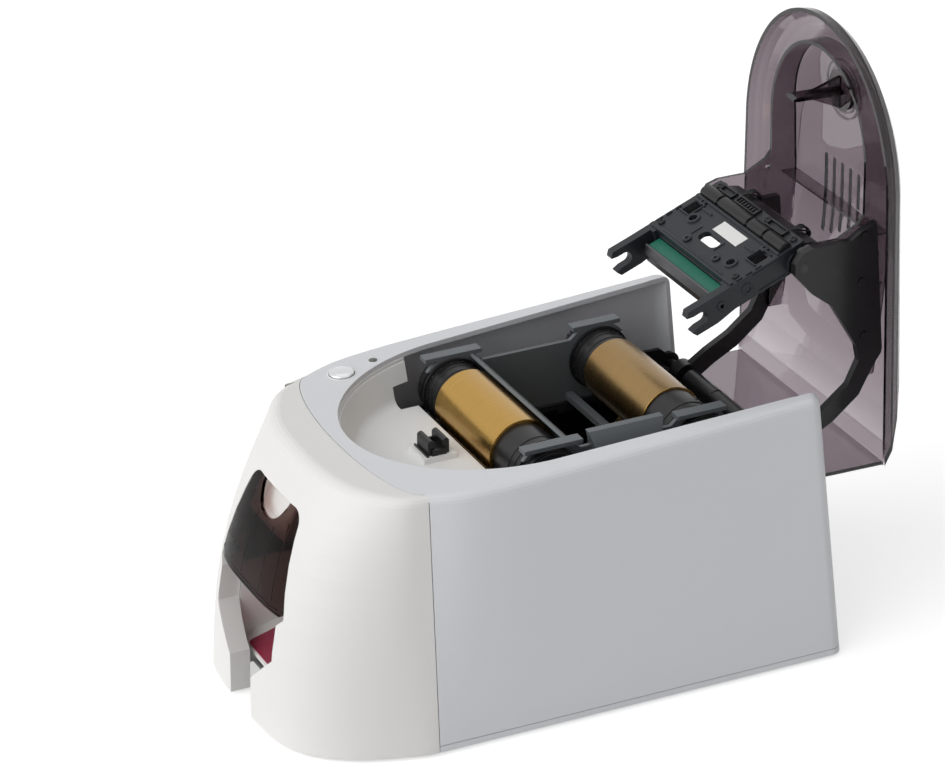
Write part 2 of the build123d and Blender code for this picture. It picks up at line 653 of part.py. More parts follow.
def chassis_plate(x):
    with BuildPart(mode=Mode.PRIVATE) as piece:
        add(plate(x, x + CHASSIS_T, chassis_outline))
        add(rod(x, x + CHASSIS_T, HINGE_Y, HINGE_Z, 6.3))
        add(rod(x, x + CHASSIS_T, HINGE_Y, HINGE_Z, PIN_R), mode=Mode.SUBTRACT)
        for y in ROLLERS:
            add(rod(x, x + CHASSIS_T, y, ROLLER_Z, SHAFT_R + BEARING_GAP), mode=Mode.SUBTRACT)
        with BuildSketch(side(x)):
            with Locations((200, 55), (85, 30)):
                RectangleRounded(44, 50, 6)
        extrude(amount=CHASSIS_T, mode=Mode.SUBTRACT)
    return piece.part


with BuildPart() as chassis_right:
    add(chassis_plate(CHASSIS_X))
save(chassis_right.part, "chassis_right")

with BuildPart() as chassis_left:
    add(chassis_plate(-CHASSIS_OUT))
    for y in IDLERS:
        add(rod(-CHASSIS_OUT, -CHASSIS_X, y, ROLLER_Z, POST_R), mode=Mode.SUBTRACT)
    motor_z = PLATEN_Z - PINION_PITCH
    add(rod(-CHASSIS_OUT, -CHASSIS_X, PLATEN_Y, motor_z, MOTOR_SHAFT_R + 0.5), mode=Mode.SUBTRACT)
save(chassis_left.part, "chassis_left")

BULKHEAD_Y = 228.0
BULKHEAD_TOP = 102.0
with BuildPart() as rear_bulkhead:
    add(block_between((-CHASSIS_X, BULKHEAD_Y, CHASSIS_LOW), (CHASSIS_X, BULKHEAD_Y + 2, BULKHEAD_TOP)))
    inlet_low = (INLET_X - INLET_W / 2 - 3, BULKHEAD_Y - 1, INLET_Z - INLET_H / 2 - 3)
    add(block_between(inlet_low, (INLET_X + INLET_W / 2 + 3, BULKHEAD_Y + 3, INLET_Z + INLET_H / 2 + 3)), mode=Mode.SUBTRACT)
save(rear_bulkhead.part, "rear_bulkhead")

# ---------------------------------------------------------------- rails that carry the cassette
RAIL_IN = 57.2
RAIL_OUT = 64.5
RAIL_TOP = 112.5
with BuildPart() as cassette_rails:
    for s in (-1, 1):
        for lo, hi in (((RAIL_IN, 66, 108.5), (RAIL_OUT, 178, RAIL_TOP)), ((RAIL_IN, 68, 106), (CHASSIS_X, 82, 108.5)),
                       ((RAIL_IN, 150, 106), (CHASSIS_X, 164, 108.5))):
            add(block_between((min(lo[0] * s, hi[0] * s), lo[1], lo[2]), (max(lo[0] * s, hi[0] * s), hi[1], hi[2])))
save(cassette_rails.part, "cassette_rails")

# ---------------------------------------------------------------- rollers
COLLAR_R = 3.2
SLEEVE_W = 35.0


def roller_shaft(y, collars):
    with BuildPart(mode=Mode.PRIVATE) as piece:
        add(rod(GEAR_X - 1, SHAFT_END, y, ROLLER_Z, SHAFT_R))
        add(rod(-CHASSIS_X + 0.3, CHASSIS_X - 0.3, y, ROLLER_Z, COLLAR_R))
        if collars:
            for x in (-62, 60):
                add(rod(x, x + 2, y, ROLLER_Z, COLLAR_R + 1.4))
    return piece.part


with BuildPart() as platen_shaft:
    add(roller_shaft(PLATEN_Y, True))
save(platen_shaft.part, "platen_shaft")
with BuildPart() as platen_sleeve:
    add(rod(-SLEEVE_W, SLEEVE_W, PLATEN_Y, ROLLER_Z, PLATEN_R, COLLAR_R))
save(platen_sleeve.part, "platen_sleeve")
with BuildPart() as mid_shaft:
    add(roller_shaft(MID_Y, False))
save(mid_shaft.part, "mid_shaft")
with BuildPart() as mid_sleeves:
    for x in (-26, 12):
        add(rod(x, x + 14, MID_Y, ROLLER_Z, PLATEN_R, COLLAR_R))
save(mid_sleeves.part, "mid_sleeves")
with BuildPart() as exit_shaft:
    add(roller_shaft(EXIT_Y, False))
save(exit_shaft.part, "exit_shaft")
with BuildPart() as exit_sleeves:
    for x in (-26, 12):
        add(rod(x, x + 14, EXIT_Y, ROLLER_Z, PLATEN_R, COLLAR_R))
save(exit_sleeves.part, "exit_sleeves")

# ---------------------------------------------------------------- gears
for name, y in (("platen_gear", PLATEN_Y), ("mid_gear", MID_Y), ("exit_gear", EXIT_Y)):
    save(gear(GEAR_X, y, ROLLER_Z, ROLLER_TEETH, SHAFT_R), name)
for name, y in (("idler_gear_1", IDLERS[0]), ("idler_gear_2", IDLERS[1])):
    save(gear(GEAR_X, y, ROLLER_Z, IDLER_TEETH, POST_R + BEARING_GAP, 180 / IDLER_TEETH), name)
with BuildPart() as motor_pinion:
    add(gear(GEAR_X, PLATEN_Y, motor_z, PINION_TEETH, MOTOR_SHAFT_R, 180 / PINION_TEETH))
    add(rod(GEAR_X - 0.5, -CHASSIS_X - 0.3, PLATEN_Y, motor_z, MOTOR_SHAFT_R))
save(motor_pinion.part, "motor_pinion")
with BuildPart() as idler_posts:
    for y in IDLERS:
        add(rod(GEAR_X - 1.2, -CHASSIS_X, y, ROLLER_Z, POST_R))
        add(rod(GEAR_X - 1.6, GEAR_X - 0.4, y, ROLLER_Z, POST_R + 1.3))
        add(rod(GEAR_X + GEAR_T + 0.3, -CHASSIS_OUT, y, ROLLER_Z, POST_R + 1.3))
save(idler_posts.part, "idler_posts")

MOTOR_R = 13.0
MOTOR_L = 22.0
with BuildPart() as stepper_motor:
    add(rod(-CHASSIS_X, -CHASSIS_X + MOTOR_L, PLATEN_Y, motor_z, MOTOR_R))
    fillet(stepper_motor.edges().group_by(Axis.X)[-1], 1.5)
    add(block_between((-CHASSIS_X, PLATEN_Y - 21, motor_z - 5), (-CHASSIS_X + 1.2, PLATEN_Y + 21, motor_z + 5)))
save(stepper_motor.part, "stepper_motor")
# ---------------------------------------------------------------- ribbon drive
TAKEUP_Y = SUPPLY_Y + SPOOL_PITCH
SPOOL_TEETH = 34
DRIVE_PITCH = MODULE * (SPOOL_TEETH + IDLER_TEETH) / 2 + 0.55
DRIVE_ANGLE = -60.0  # from the take-up spool down to its drive gear, the way the cassette lifts
DRIVE_Y = TAKEUP_Y + DRIVE_PITCH * cos(radians(DRIVE_ANGLE))
DRIVE_Z = SPOOL_Z + DRIVE_PITCH * sin(radians(DRIVE_ANGLE))
SPOOL_GEAR_X = -71.5
RIBBON_MOTOR_R = 7.5
DRIVE_PHASE = DRIVE_ANGLE + 180 + 180 / IDLER_TEETH
RIBBON_MOTOR_X = -57.0
RIBBON_MOTOR_L = 21.0
BRACKET_T = 1.3
with BuildPart() as takeup_drive_gear:
    add(gear(SPOOL_GEAR_X, DRIVE_Y, DRIVE_Z, IDLER_TEETH, MOTOR_SHAFT_R, DRIVE_PHASE))
    add(rod(SPOOL_GEAR_X - 0.5, RIBBON_MOTOR_X - 0.3, DRIVE_Y, DRIVE_Z, MOTOR_SHAFT_R))
save(takeup_drive_gear.part, "takeup_drive_gear")
with BuildPart() as ribbon_motor:
    add(rod(RIBBON_MOTOR_X, RIBBON_MOTOR_X + RIBBON_MOTOR_L, DRIVE_Y, DRIVE_Z, RIBBON_MOTOR_R))
    fillet(ribbon_motor.edges().group_by(Axis.X)[-1], 1.2)
save(ribbon_motor.part, "ribbon_motor")
BAR_Y = 203.5
with BuildPart() as cross_bar:
    add(block_between((-CHASSIS_X, BAR_Y, 111), (CHASSIS_X, BAR_Y + 12, 121)))
    fillet(cross_bar.edges().group_by(Axis.Z)[-1].filter_by(Axis.X), 2)
    add(block_between((-CHASSIS_X, BAR_Y + 1.6, 109), (CHASSIS_X, BAR_Y + 10.4, 119)), mode=Mode.SUBTRACT)
    x = RIBBON_MOTOR_X - BRACKET_T
    add(rod(x, RIBBON_MOTOR_X, DRIVE_Y, DRIVE_Z, RIBBON_MOTOR_R - 0.5))
    tab = [(DRIVE_Y, DRIVE_Z - 6), (BAR_Y + 0.5, 112), (BAR_Y + 0.5, 120), (DRIVE_Y + 2, DRIVE_Z + 6.5)]
    add(plate(x, RIBBON_MOTOR_X, tab))
    add(rod(x, RIBBON_MOTOR_X, DRIVE_Y, DRIVE_Z, MOTOR_SHAFT_R + 0.4), mode=Mode.SUBTRACT)
save(cross_bar.part, "cross_bar")

# ---------------------------------------------------------------- board and sockets
with BuildPart() as main_board:
    add(block_between((BOARD[0][0], BOARD[0][1], BOARD_Z), (BOARD[1][0], BOARD[1][1], BOARD_Z + 1.6)))
    for x, y, w, d, h in ((-40, 184, 16, 16, 2.2), (-8, 180, 10, 14, 2), (24, 190, 22, 8, 9), (46, 205, 9, 9, 12),
                          (-30, 208, 30, 6, 7), (20, 212, 12, 8, 5)):
        low = (x - w / 2, y - d / 2, BOARD_Z + 1.5)
        add(block_between(low, (x + w / 2, y + d / 2, BOARD_Z + 1.6 + h)))
save(main_board.part, "main_board")
def rear_wall(z):
    """Place of the outside of the rear wall at a height."""
    return SIDE_LEN + (SIDE_LEN_TOP - SIDE_LEN) * (z - FOOT_H) / (RIM_Z - FOOT_H)


SOCKET_REAR = rear_wall(INLET_Z + INLET_H / 2) - 0.4
with BuildPart() as power_inlet:
    w = INLET_W / 2 - SOCKET_FIT
    h = INLET_H / 2 - SOCKET_FIT
    low = (INLET_X - w - 6, BULKHEAD_Y + 2, INLET_Z - h - 6)
    add(block_between((INLET_X - w, BULKHEAD_Y + 2, INLET_Z - h), (INLET_X + w, SOCKET_REAR, INLET_Z + h)))
    add(block_between(low, (INLET_X + w + 6, BULKHEAD_Y + 4, INLET_Z + h + 6)))
    add(block_between((INLET_X - w + 2, BULKHEAD_Y + 7, INLET_Z - h + 2), (INLET_X + w - 2, SIDE_LEN, INLET_Z + h - 2)),
        mode=Mode.SUBTRACT)
    for x, z in ((-5, -2), (5, -2), (0, 3)):
        low = (INLET_X + x - 1, BULKHEAD_Y + 6, INLET_Z + z - 2)
        add(block_between(low, (INLET_X + x + 1, SOCKET_REAR - 3, INLET_Z + z + 2)))
save(power_inlet.part, "power_inlet")
with BuildPart() as hinge_pins:
    for s in (-1, 1):
        x0 = min(s * PIN_IN, s * (CHASSIS_OUT + 1))
        add(rod(x0, x0 + CHASSIS_OUT + 1 - PIN_IN, HINGE_Y, HINGE_Z, PIN_R))
        x1 = min(s * (CHASSIS_OUT + 1), s * CHASSIS_OUT)
        add(rod(x1, x1 + 1, HINGE_Y, HINGE_Z, PIN_R + 1.5))
save(hinge_pins.part, "hinge_pins")

# ================================================================ lid
DOME_POWERS = (3.0, 2.8, 1.9)  # how the front, side and rear run in with height
DOME_SHARES = [0.0, 0.25, 0.45, 0.6, 0.72, 0.82, 0.9, 0.96, 1.0]


def lid_block(inset, height, start):
    """The domed block over the rim, its outline running in towards the top."""
    with BuildPart(mode=Mode.PRIVATE) as block:
        for share in DOME_SHARES:
            f, s, r = [n * share**p + inset for n, p in zip((DOME_FRONT, DOME_SIDE, DOME_REAR), DOME_POWERS)]
            length = OPEN_LEN + LID_OVER_FRONT - f
            w0 = OPEN_W + LID_OVER - s
            w1 = OPEN_W_REAR + LID_OVER - s
            rise = start if share == 0 else LID_GAP + height * share
            with BuildSketch(RIM.offset(rise)):
                with BuildLine():
                    EllipticalCenterArc((0, OPEN_MID), w0, length, 180, arc_size=180)
                    Polyline((w0, OPEN_MID), (w1, LID_REAR - r), (-w1, LID_REAR - r), (-w0, OPEN_MID))
                make_face()
        loft(ruled=True)
    return block.part


LID_OUT = lid_block(0, DOME_H, LID_GAP)
LID_IN = lid_block(LID_T, DOME_H - LID_T, LID_GAP - 0.5)
LID_REAR_W = OPEN_W_REAR + LID_OVER - 3.0
lid_rear_top = rim(LID_REAR) + LID_GAP + 1.5
VENT_LENGTHS = [49.0, 47.0, 43.0, 38.0, 31.0]
VENT_X = -17.0
VENT_Y = 88.0
with BuildPart() as lid_cover:
    add(LID_OUT)
    add(LID_IN, mode=Mode.SUBTRACT)
    add(block_between((-LID_REAR_W, LID_REAR - LID_T, LID_REAR_LOW), (LID_REAR_W, LID_REAR, lid_rear_top)))
    with BuildSketch(RIM.offset(LID_GAP + 6)):
        for k in range(VENTS):
            with Locations((VENT_X + k * VENT_PITCH, VENT_Y + VENT_LENGTHS[k] / 2)):
                SlotOverall(VENT_LENGTHS[k], VENT_W, rotation=90)
    extrude(amount=DOME_H, mode=Mode.SUBTRACT)
save(opened(lid_cover.part), "lid_cover")

# ---------------------------------------------------------------- inner frame with the ears that hold the head
EAR = [(88, 166), (100.5, 157), (107.8, 144), (108.2, 126), (110.5, 119), (116.6, 114.9), (122.9, 115), (142, 150),
       (148, 166)]
SCREW_R = 1.25
ARM_SCREWS = [(106, 159), (134, 159), (168, 163)]
pivot_y = PLATEN_Y - PIVOT_A * cos(radians(HEAD_LEAN)) - PIVOT_B * sin(radians(HEAD_LEAN))
pivot_z = PLATEN_Z - PIVOT_A * sin(radians(HEAD_LEAN)) + PIVOT_B * cos(radians(HEAD_LEAN))
FRAME_IN = ARM_X - 0.1 - FRAME_T
FRAME_REAR = 196.0
SPRING_Y = 122.0
SPRING_Z = 170.0
SPRING_PIN_R = 3.0


def frame_outline(grow):
    with BuildSketch(RIM.offset(FRAME_LOW), mode=Mode.PRIVATE) as shape:
        with BuildLine():
            w = ARM_X - 0.1 + grow
            middle = FRAME_TIP + FRAME_ARCH
            EllipticalCenterArc((0, middle), w, FRAME_ARCH + grow, 180, arc_size=180)
            Polyline((w, middle), (w, LID_REAR - LID_T), (-w, LID_REAR - LID_T), (-w, middle))
        make_face()
    return shape.sketch


with BuildPart() as lid_inner_frame:
    extrude(frame_outline(0), amount=30)
    extrude(frame_outline(-FRAME_T), amount=30, mode=Mode.SUBTRACT)
    add(block_between((-FRAME_IN, 109.4, rim(110) + 9), (FRAME_IN, 110.6, 200)))
    add(rod(26, FRAME_IN + 1, SPRING_Y, SPRING_Z, SPRING_PIN_R))
    add(LID_IN, mode=Mode.INTERSECT)
    add(block_between((-80, FRAME_REAR, 0), (80, LID_REAR + 5, 250)), mode=Mode.SUBTRACT)
    for x in (-FRAME_IN - FRAME_T, FRAME_IN):
        add(plate(x, x + FRAME_T, EAR))
        add(rod(x, x + FRAME_T, pivot_y, pivot_z, PIVOT_R), mode=Mode.SUBTRACT)
        for y, z in ARM_SCREWS:
            add(rod(x, x + FRAME_T, y, z, SCREW_R), mode=Mode.SUBTRACT)
    add(lid_cover.part, mode=Mode.SUBTRACT)
save(opened(lid_inner_frame.part), "lid_inner_frame")

HOOK_R = 12.0
HOOK_BOSS = 3.0
HOOK_T = 2.6
HOOK_W = 9.0
HOOK_LOW = 139.5
hook_top = rim(CATCH_Y) + LID_GAP + DOME_H - LID_T - 1
with BuildPart() as latch_hook:
    add(disc(RIM.offset(LID_GAP + DOME_H - LID_T - HOOK_BOSS), 0, CATCH_Y + 1, HOOK_R, HOOK_BOSS))
    y0 = CATCH_Y - HOOK_T / 2
    y1 = CATCH_Y + HOOK_T / 2
    blade = [(y0, hook_top), (y1, hook_top), (y1, HOOK_LOW + 2.5), (y1 - 0.7, HOOK_LOW), (y0 + 0.7, HOOK_LOW),
             (y0, HOOK_LOW + 2.5)]
    add(plate(-HOOK_W / 2, HOOK_W / 2, blade))
    add(plate(-HOOK_T / 2, HOOK_T / 2, [(y0 - 8, hook_top), (y1 + 10, hook_top), (y1, JAW_TOP + 6), (y0, JAW_TOP + 6)]))
    add(lid_cover.part, mode=Mode.SUBTRACT)
save(opened(latch_hook.part), "latch_hook")

# ---------------------------------------------------------------- hinge arms
HINGE_GAP = 0.05
ARM = [(99, 166), (103.5, 156), (107.8, 150), (108.2, 126), (110.5, 119), (116.6, 114.9), (122.9, 115),
       (136.6, 127.5), (146.3, 140.7), (173.8, 158.5), (183.3, 160.8), (197.6, 154.7), (209.7, 140.4),
       (218, 125.8), (228.5, 110.8), (237.5, 117.2), (227.2, 131.6), (218.7, 146.6), (205, 162.5), (187.9, 170.8),
       (180, 176)]


ARM_LEFT = [(126, 169), (126, 152), (136.6, 133.5)] + ARM[8:]  # the left ear shows clear over its arm


def hinge_arm(s):
    with BuildPart(mode=Mode.PRIVATE) as piece:
        x0 = min(s * ARM_X, s * (ARM_X + ARM_T))
        h0 = min(s * ARM_X, s * HUB_X)
        add(plate(x0, x0 + ARM_T, ARM if s > 0 else ARM_LEFT))
        add(rod(h0, h0 + HUB_X - ARM_X, HINGE_Y, HINGE_Z, HUB_R))
        add(rod(h0, h0 + HUB_X - ARM_X, HINGE_Y, HINGE_Z, PIN_R + HINGE_GAP), mode=Mode.SUBTRACT)
        add(rod(x0, x0 + ARM_T, pivot_y, pivot_z, PIVOT_R), mode=Mode.SUBTRACT)
        for y, z in ARM_SCREWS:
            add(rod(x0, x0 + ARM_T, y, z, SCREW_R), mode=Mode.SUBTRACT)
        add(LID_OUT - LID_IN, mode=Mode.SUBTRACT)
    return piece.part


save(opened(hinge_arm(-1)), "hinge_arm_left")
save(opened(hinge_arm(1)), "hinge_arm_right")

with BuildPart() as arm_screws:
    for s in (-1, 1):
        for y, z in ARM_SCREWS if s > 0 else ARM_SCREWS[1:]:
            x0 = min(s * FRAME_IN, s * (ARM_X + ARM_T))
            add(rod(x0, x0 + ARM_X + ARM_T - FRAME_IN, y, z, SCREW_R))
            x1 = min(s * (ARM_X + ARM_T), s * (ARM_X + ARM_T + 1.2))
            add(rod(x1, x1 + 1.2, y, z, 2.4))
save(opened(arm_screws.part), "arm_screws")

COIL_WIRE = 1.0
with BuildPart() as coil_part:
    with BuildLine() as coil_line:
        turns = Helix(pitch=2.4, height=21.6, radius=SPRING_PIN_R + 0.2 + COIL_WIRE / 2)
    with BuildSketch(Plane(origin=turns @ 0, z_dir=turns % 0)):
        Circle(COIL_WIRE / 2)
    sweep(path=coil_line.line)
counter_spring = Location((27.2, at(SPRING_Y), SPRING_Z), (0, 90, 0)) * coil_part.part
save(opened(counter_spring), "counter_spring")

HOOK_WIRE = 1.1
with BuildPart() as wire_hook:
    roof = rim(147) + LID_GAP + DOME_H - LID_T
    points = [(30, at(142), roof), (30, at(144), 164), (30, at(154), 161), (36, at(156), 161), (52 - 6, at(156), 161),
              (46, at(154), 161), (46, at(144), 164), (46, at(142), roof)]
    with BuildLine() as wire_line:
        FilletPolyline(points[0], points[1], points[2], (46, at(154), 161), points[6], points[7], radius=2.0)
    with BuildSketch(Plane(origin=wire_line.line @ 0, z_dir=wire_line.line % 0)):
        Circle(HOOK_WIRE)
    sweep(path=wire_line.line)
    add(lid_cover.part, mode=Mode.SUBTRACT)
save(opened(wire_hook.part), "wire_hook")

# ================================================================ print head, drawn shut over the platen
lean_c = cos(radians(HEAD_LEAN))
lean_s = sin(radians(HEAD_LEAN))


def head_side(x):
    """A plane across X whose sketches are drawn in (up along the head, out of its face)."""
    return Plane(origin=(x, at(PLATEN_Y), PLATEN_Z), x_dir=(0, -lean_s, lean_c), z_dir=(1, 0, 0))


def head_face(a):
    """A plane along the head whose sketches are drawn in (X, up along the head)."""
    origin = (0, at(PLATEN_Y - a * lean_c), PLATEN_Z - a * lean_s)
    return Plane(origin=origin, x_dir=(1, 0, 0), z_dir=(0, -lean_c, -lean_s))


FILM_Z = 71.3  # underside of the film over the platen
FILM_T = 0.3
HEAD_GAP = 0.6  # between the shut head and the film
HEAD_BOTTOM = FILM_Z + FILM_T + HEAD_GAP
SIDE_T = 3.0  # side plates of the carrier over the forks
FORK_OUT = HEAD_W + 1.0 + FORK_W
FORK_TIP = 8.0
FACE_A = 4.6
FACE_T = 3.4
FACE_LOW = 22.5
FACE_TOP = 72.0
PIVOT_GAP = 0.06
tine = FORK_SLOT / 2
fork_side = [(-FORK_TIP, -tine - 1.4), (-FORK_TIP + 2, -tine - 4.4), (8, -tine - 4.6), (20, -6.5), (22, -6.5),
             (22, 8), (8, 8), (-FORK_TIP + 2, tine + 4.4), (-FORK_TIP, tine + 1.4), (-FORK_TIP, tine + 1),
             (-FORK_TIP + 4, tine), (0, tine), (0, -tine), (-FORK_TIP + 4, -tine), (-FORK_TIP, -tine - 1)]
long_side = [(14, -6.5), (60, -6.5), (70, -6), (74, -2), (74, 5), (70, 8), (14, 8)]
with BuildPart() as head_carrier:
    for s in (-1, 1):
        x0 = min(s * FORK_OUT, s * (FORK_OUT - FORK_T))
        add(bar(head_side(x0), fork_side, FORK_T))
        add(disc(head_side(x0), 0, 0, tine, FORK_T), mode=Mode.SUBTRACT)
        x0 = min(s * FORK_OUT, s * (FORK_OUT - FORK_W))
        add(bar(head_side(x0), [(20, -6.5), (22.5, -6.5), (22.5, 8), (20, 8)], FORK_W))
        x0 = min(s * FORK_OUT, s * (FORK_OUT - SIDE_T))
        add(bar(head_side(x0), long_side, SIDE_T))
        x0 = min(s * FORK_OUT, s * (FRAME_IN - 0.4))
        boss = FRAME_IN - 0.4 - FORK_OUT
        add(disc(head_side(x0), PIVOT_B, PIVOT_A, PIVOT_R + 3, boss))
    with BuildSketch(head_face(FACE_A)):
        with Locations((0, (FACE_LOW + FACE_TOP) / 2)):
            Rectangle(2 * FORK_OUT - 1, FACE_TOP - FACE_LOW)
        with Locations((-2, 37.5)):
            SlotOverall(19, 7.5, mode=Mode.SUBTRACT)
        with Locations((28, 34), (-28, 42)):
            Circle(2.6, mode=Mode.SUBTRACT)
        with Locations((37.5, 47), (-37.5, 47)):
            RectangleRounded(9, 10, 1.5, mode=Mode.SUBTRACT)
    extrude(amount=FACE_T)
    with BuildSketch(head_face(FACE_A + FACE_T)):
        with Locations((28, 34), (-28, 42)):
            Circle(4.2)
            Circle(2.6, mode=Mode.SUBTRACT)
        with Locations((26, 47.5), (-26, 50.5)):
            Rectangle(10, 1.2)
    extrude(amount=0.8)
    with BuildSketch(head_face(FACE_A + FACE_T)):
        with Locations((0, FACE_LOW + 1.2)):
            Rectangle(2 * FORK_OUT - 2, 2.4)
        with Locations((0, 55.5)):
            Rectangle(2 * FORK_OUT - 2, 1.6)
    extrude(amount=1)
    for s in (-1, 1):
        x0 = min(s * (FORK_OUT - SIDE_T - 1), s * (FRAME_IN - 0.3))
        add(disc(head_side(x0), PIVOT_B, PIVOT_A, PIVOT_R + PIVOT_GAP, FRAME_IN + 0.7 - FORK_OUT + SIDE_T),
            mode=Mode.SUBTRACT)
save(opened(head_carrier.part), "head_carrier")

HEAD_TOP_B = 34.0
over_film = block_between((-80, 80, HEAD_BOTTOM), (80, 200, 220))
with BuildPart() as print_head:
    profile = [(10, -6), (HEAD_TOP_B, -6), (HEAD_TOP_B, 4.4), (22, 4.4), (22, 1.5), (13.5, 1.5), (13.5, 4.4), (10, 4.4)]
    add(bar(head_side(-HEAD_W), profile, 2 * HEAD_W))
    add(over_film, mode=Mode.INTERSECT)
save(opened(print_head.part), "print_head")
with BuildPart() as print_strip:
    add(bar(head_side(-HEAD_W + 0.6), [(14.2, 1.5), (21.6, 1.5), (21.6, 3.2), (14.2, 3.2)], 2 * HEAD_W - 1.2))
save(opened(print_strip.part), "print_strip")

HOUSE_B = 58.0
with BuildPart() as head_housing:
    profile = [(HOUSE_B, -6), (HOUSE_B, 4.5), (73, 4.5), (80, 0), (84, -7), (80, -10), (HOUSE_B + 4, -10)]
    house_w = FORK_OUT - SIDE_T - 0.2
    add(bar(head_side(-house_w), profile, 2 * house_w))
    with BuildSketch(head_face(-11)):
        with Locations((-22, 71), (22, 71)):
            RectangleRounded(26, 12, 2)
    extrude(amount=4, mode=Mode.SUBTRACT)
save(opened(head_housing.part), "head_housing")
with BuildPart() as head_connector:
    with BuildSketch(head_face(-10.8)):
        with Locations((22, 71)):
            Rectangle(20, 8)
    extrude(amount=3.6)
    with BuildSketch(head_face(-14)):
        with Locations((22, 71)):
            Rectangle(16, 5)
    extrude(amount=3.4)
save(opened(head_connector.part), "head_connector")
with BuildPart() as blank_label:
    with BuildSketch(head_face(FACE_A + FACE_T)):
        with Locations((4, 48)):
            Rectangle(26, 8.6)
    extrude(amount=0.15)
save(opened(blank_label.part), "blank_label")
with BuildPart() as head_pivot_pins:
    for s in (-1, 1):
        x0 = min(s * (FORK_OUT - SIDE_T + 0.4), s * (ARM_X + ARM_T))
        add(rod(x0, x0 + ARM_X + ARM_T - FORK_OUT + SIDE_T - 0.4, pivot_y, pivot_z, PIVOT_R))
save(opened(head_pivot_pins.part), "head_pivot_pins")

# ================================================================ ribbon cassette, seated on its rails
SPOOLS = [SUPPLY_Y, TAKEUP_Y]
CLIP_IN = CORE_R + RUN
FLANGE_OUT = 65.8
TAB_OUT = 67.6  # the tab outside the rail
SEAT_GAP = 0.1
FLANGE_LOW = RAIL_TOP + SEAT_GAP
FLANGE_T = 2.6
FLANGE_HIGH = SPOOL_Z + CLIP_R + 0.9
PLATE_IN = PLATE_X - PLATE_T / 2
PLATE_OUT = PLATE_X + PLATE_T / 2


def cassette_plate(s):
    """A side plate: two open clips for the spools, joined by a web with flanges above and below."""
    with BuildPart(mode=Mode.PRIVATE) as piece:
        x0 = min(s * PLATE_IN, s * PLATE_OUT)
        add(plate(x0, x0 + PLATE_T, [(SUPPLY_Y, 114), (TAKEUP_Y, 114), (TAKEUP_Y, 157), (165, 157), (158, 151),
                                     (102, 151), (95, 157), (SUPPLY_Y, 157)]))
        for y in SPOOLS:
            add(rod(x0, x0 + PLATE_T, y, SPOOL_Z, CLIP_R))
        f0 = min(s * PLATE_IN, s * FLANGE_OUT)
        f1 = f0 + FLANGE_OUT - PLATE_IN
        add(block_between((f0, SUPPLY_Y - 19, FLANGE_LOW), (f1, TAKEUP_Y + 9, FLANGE_LOW + FLANGE_T)))
        add(block_between((f0, SUPPLY_Y - 17, FLANGE_HIGH - FLANGE_T), (f1, 101, FLANGE_HIGH)))
        add(block_between((f0, 160, FLANGE_HIGH - FLANGE_T), (f1, TAKEUP_Y + 14, FLANGE_HIGH)))
        g0 = min(s * PLATE_IN, s * TAB_OUT)
        g1 = g0 + TAB_OUT - PLATE_IN
        add(block_between((g0, 105, FLANGE_LOW), (g1, 131, FLANGE_LOW + FLANGE_T)))
        t0 = min(s * TAB_OUT, s * (TAB_OUT - 2.4))
        add(plate(t0, t0 + 2.4, [(107, FLANGE_LOW + 1), (129, FLANGE_LOW + 1), (126, 106), (122, 104), (114, 104),
                                 (110, 106)]))
        for y, turn in zip(SPOOLS, (180, 0)):
            add(rod(x0 - 12, x0 + PLATE_T + 12, y, SPOOL_Z, CLIP_IN), mode=Mode.SUBTRACT)
            mouth = [(y, SPOOL_Z - 13), (y, SPOOL_Z + 13)]
            reach = -30 if turn else 30
            mouth += [(y + reach, SPOOL_Z + 13), (y + reach, SPOOL_Z - 13)]
            add(plate(x0 - 12, x0 + PLATE_T + 12, mouth), mode=Mode.SUBTRACT)
    return piece.part


save(cassette_plate(-1), "cassette_plate_left")
GRIP_OUT = 71.5
with BuildPart() as cassette_plate_right:
    add(cassette_plate(1))
    with BuildPart(mode=Mode.PRIVATE) as grip:
        for z, y0, y1, out in ((160, 106, 152, 63), (141, 111, 147, GRIP_OUT), (118.5, 118, 140, GRIP_OUT - 1.5)):
            with BuildSketch(bowl_level(z)):
                with Locations(((PLATE_IN + out) / 2, (y0 + y1) / 2)):
                    Rectangle(out - PLATE_IN, y1 - y0)
        loft(ruled=True)
    add(grip.part)
save(cassette_plate_right.part, "cassette_plate_right")

SHIELD_IN = 21.4
SHIELD_T = 1.8
with BuildPart() as cassette_bridge:
    with BuildSketch(side(-PLATE_IN)):
        with Locations((SUPPLY_Y, SPOOL_Z)):
            Circle(SHIELD_IN + SHIELD_T)
            Circle(SHIELD_IN, mode=Mode.SUBTRACT)
        with BuildLine():
            Polyline((SUPPLY_Y, SPOOL_Z), (SUPPLY_Y + 40, SPOOL_Z + 66), (SUPPLY_Y + 60, SPOOL_Z), (SUPPLY_Y + 40, 112),
                     close=True)
        make_face(mode=Mode.INTERSECT)
    extrude(amount=2 * PLATE_IN)
    add(plate(-PLATE_IN, PLATE_IN, [(99.4, 126), (101.6, 126), (102.4, 115), (100.6, 115)]))
    add(block_between((-PLATE_IN, 99, 114.2), (PLATE_IN, 104, 118)))
    add(block_between((-PLATE_IN, 155, 114.2), (PLATE_IN, 160, 118)))
save(cassette_bridge.part, "cassette_bridge")

TURN_ANGLE = 50.0  # slope of the two runs of film down to the platen
FILM_W = 34.0
WRAP_R = 18.6
run_c = cos(radians(TURN_ANGLE))
run_s = sin(radians(TURN_ANGLE))


def film_leg(y, r, sign):
    """Where the film leaves a spool and where it reaches the level over the platen."""
    top_y = y - sign * r * run_s
    top_z = SPOOL_Z - r * run_c
    return (top_y, top_z), (top_y + sign * (top_z - FILM_Z) / run_s * run_c, FILM_Z)


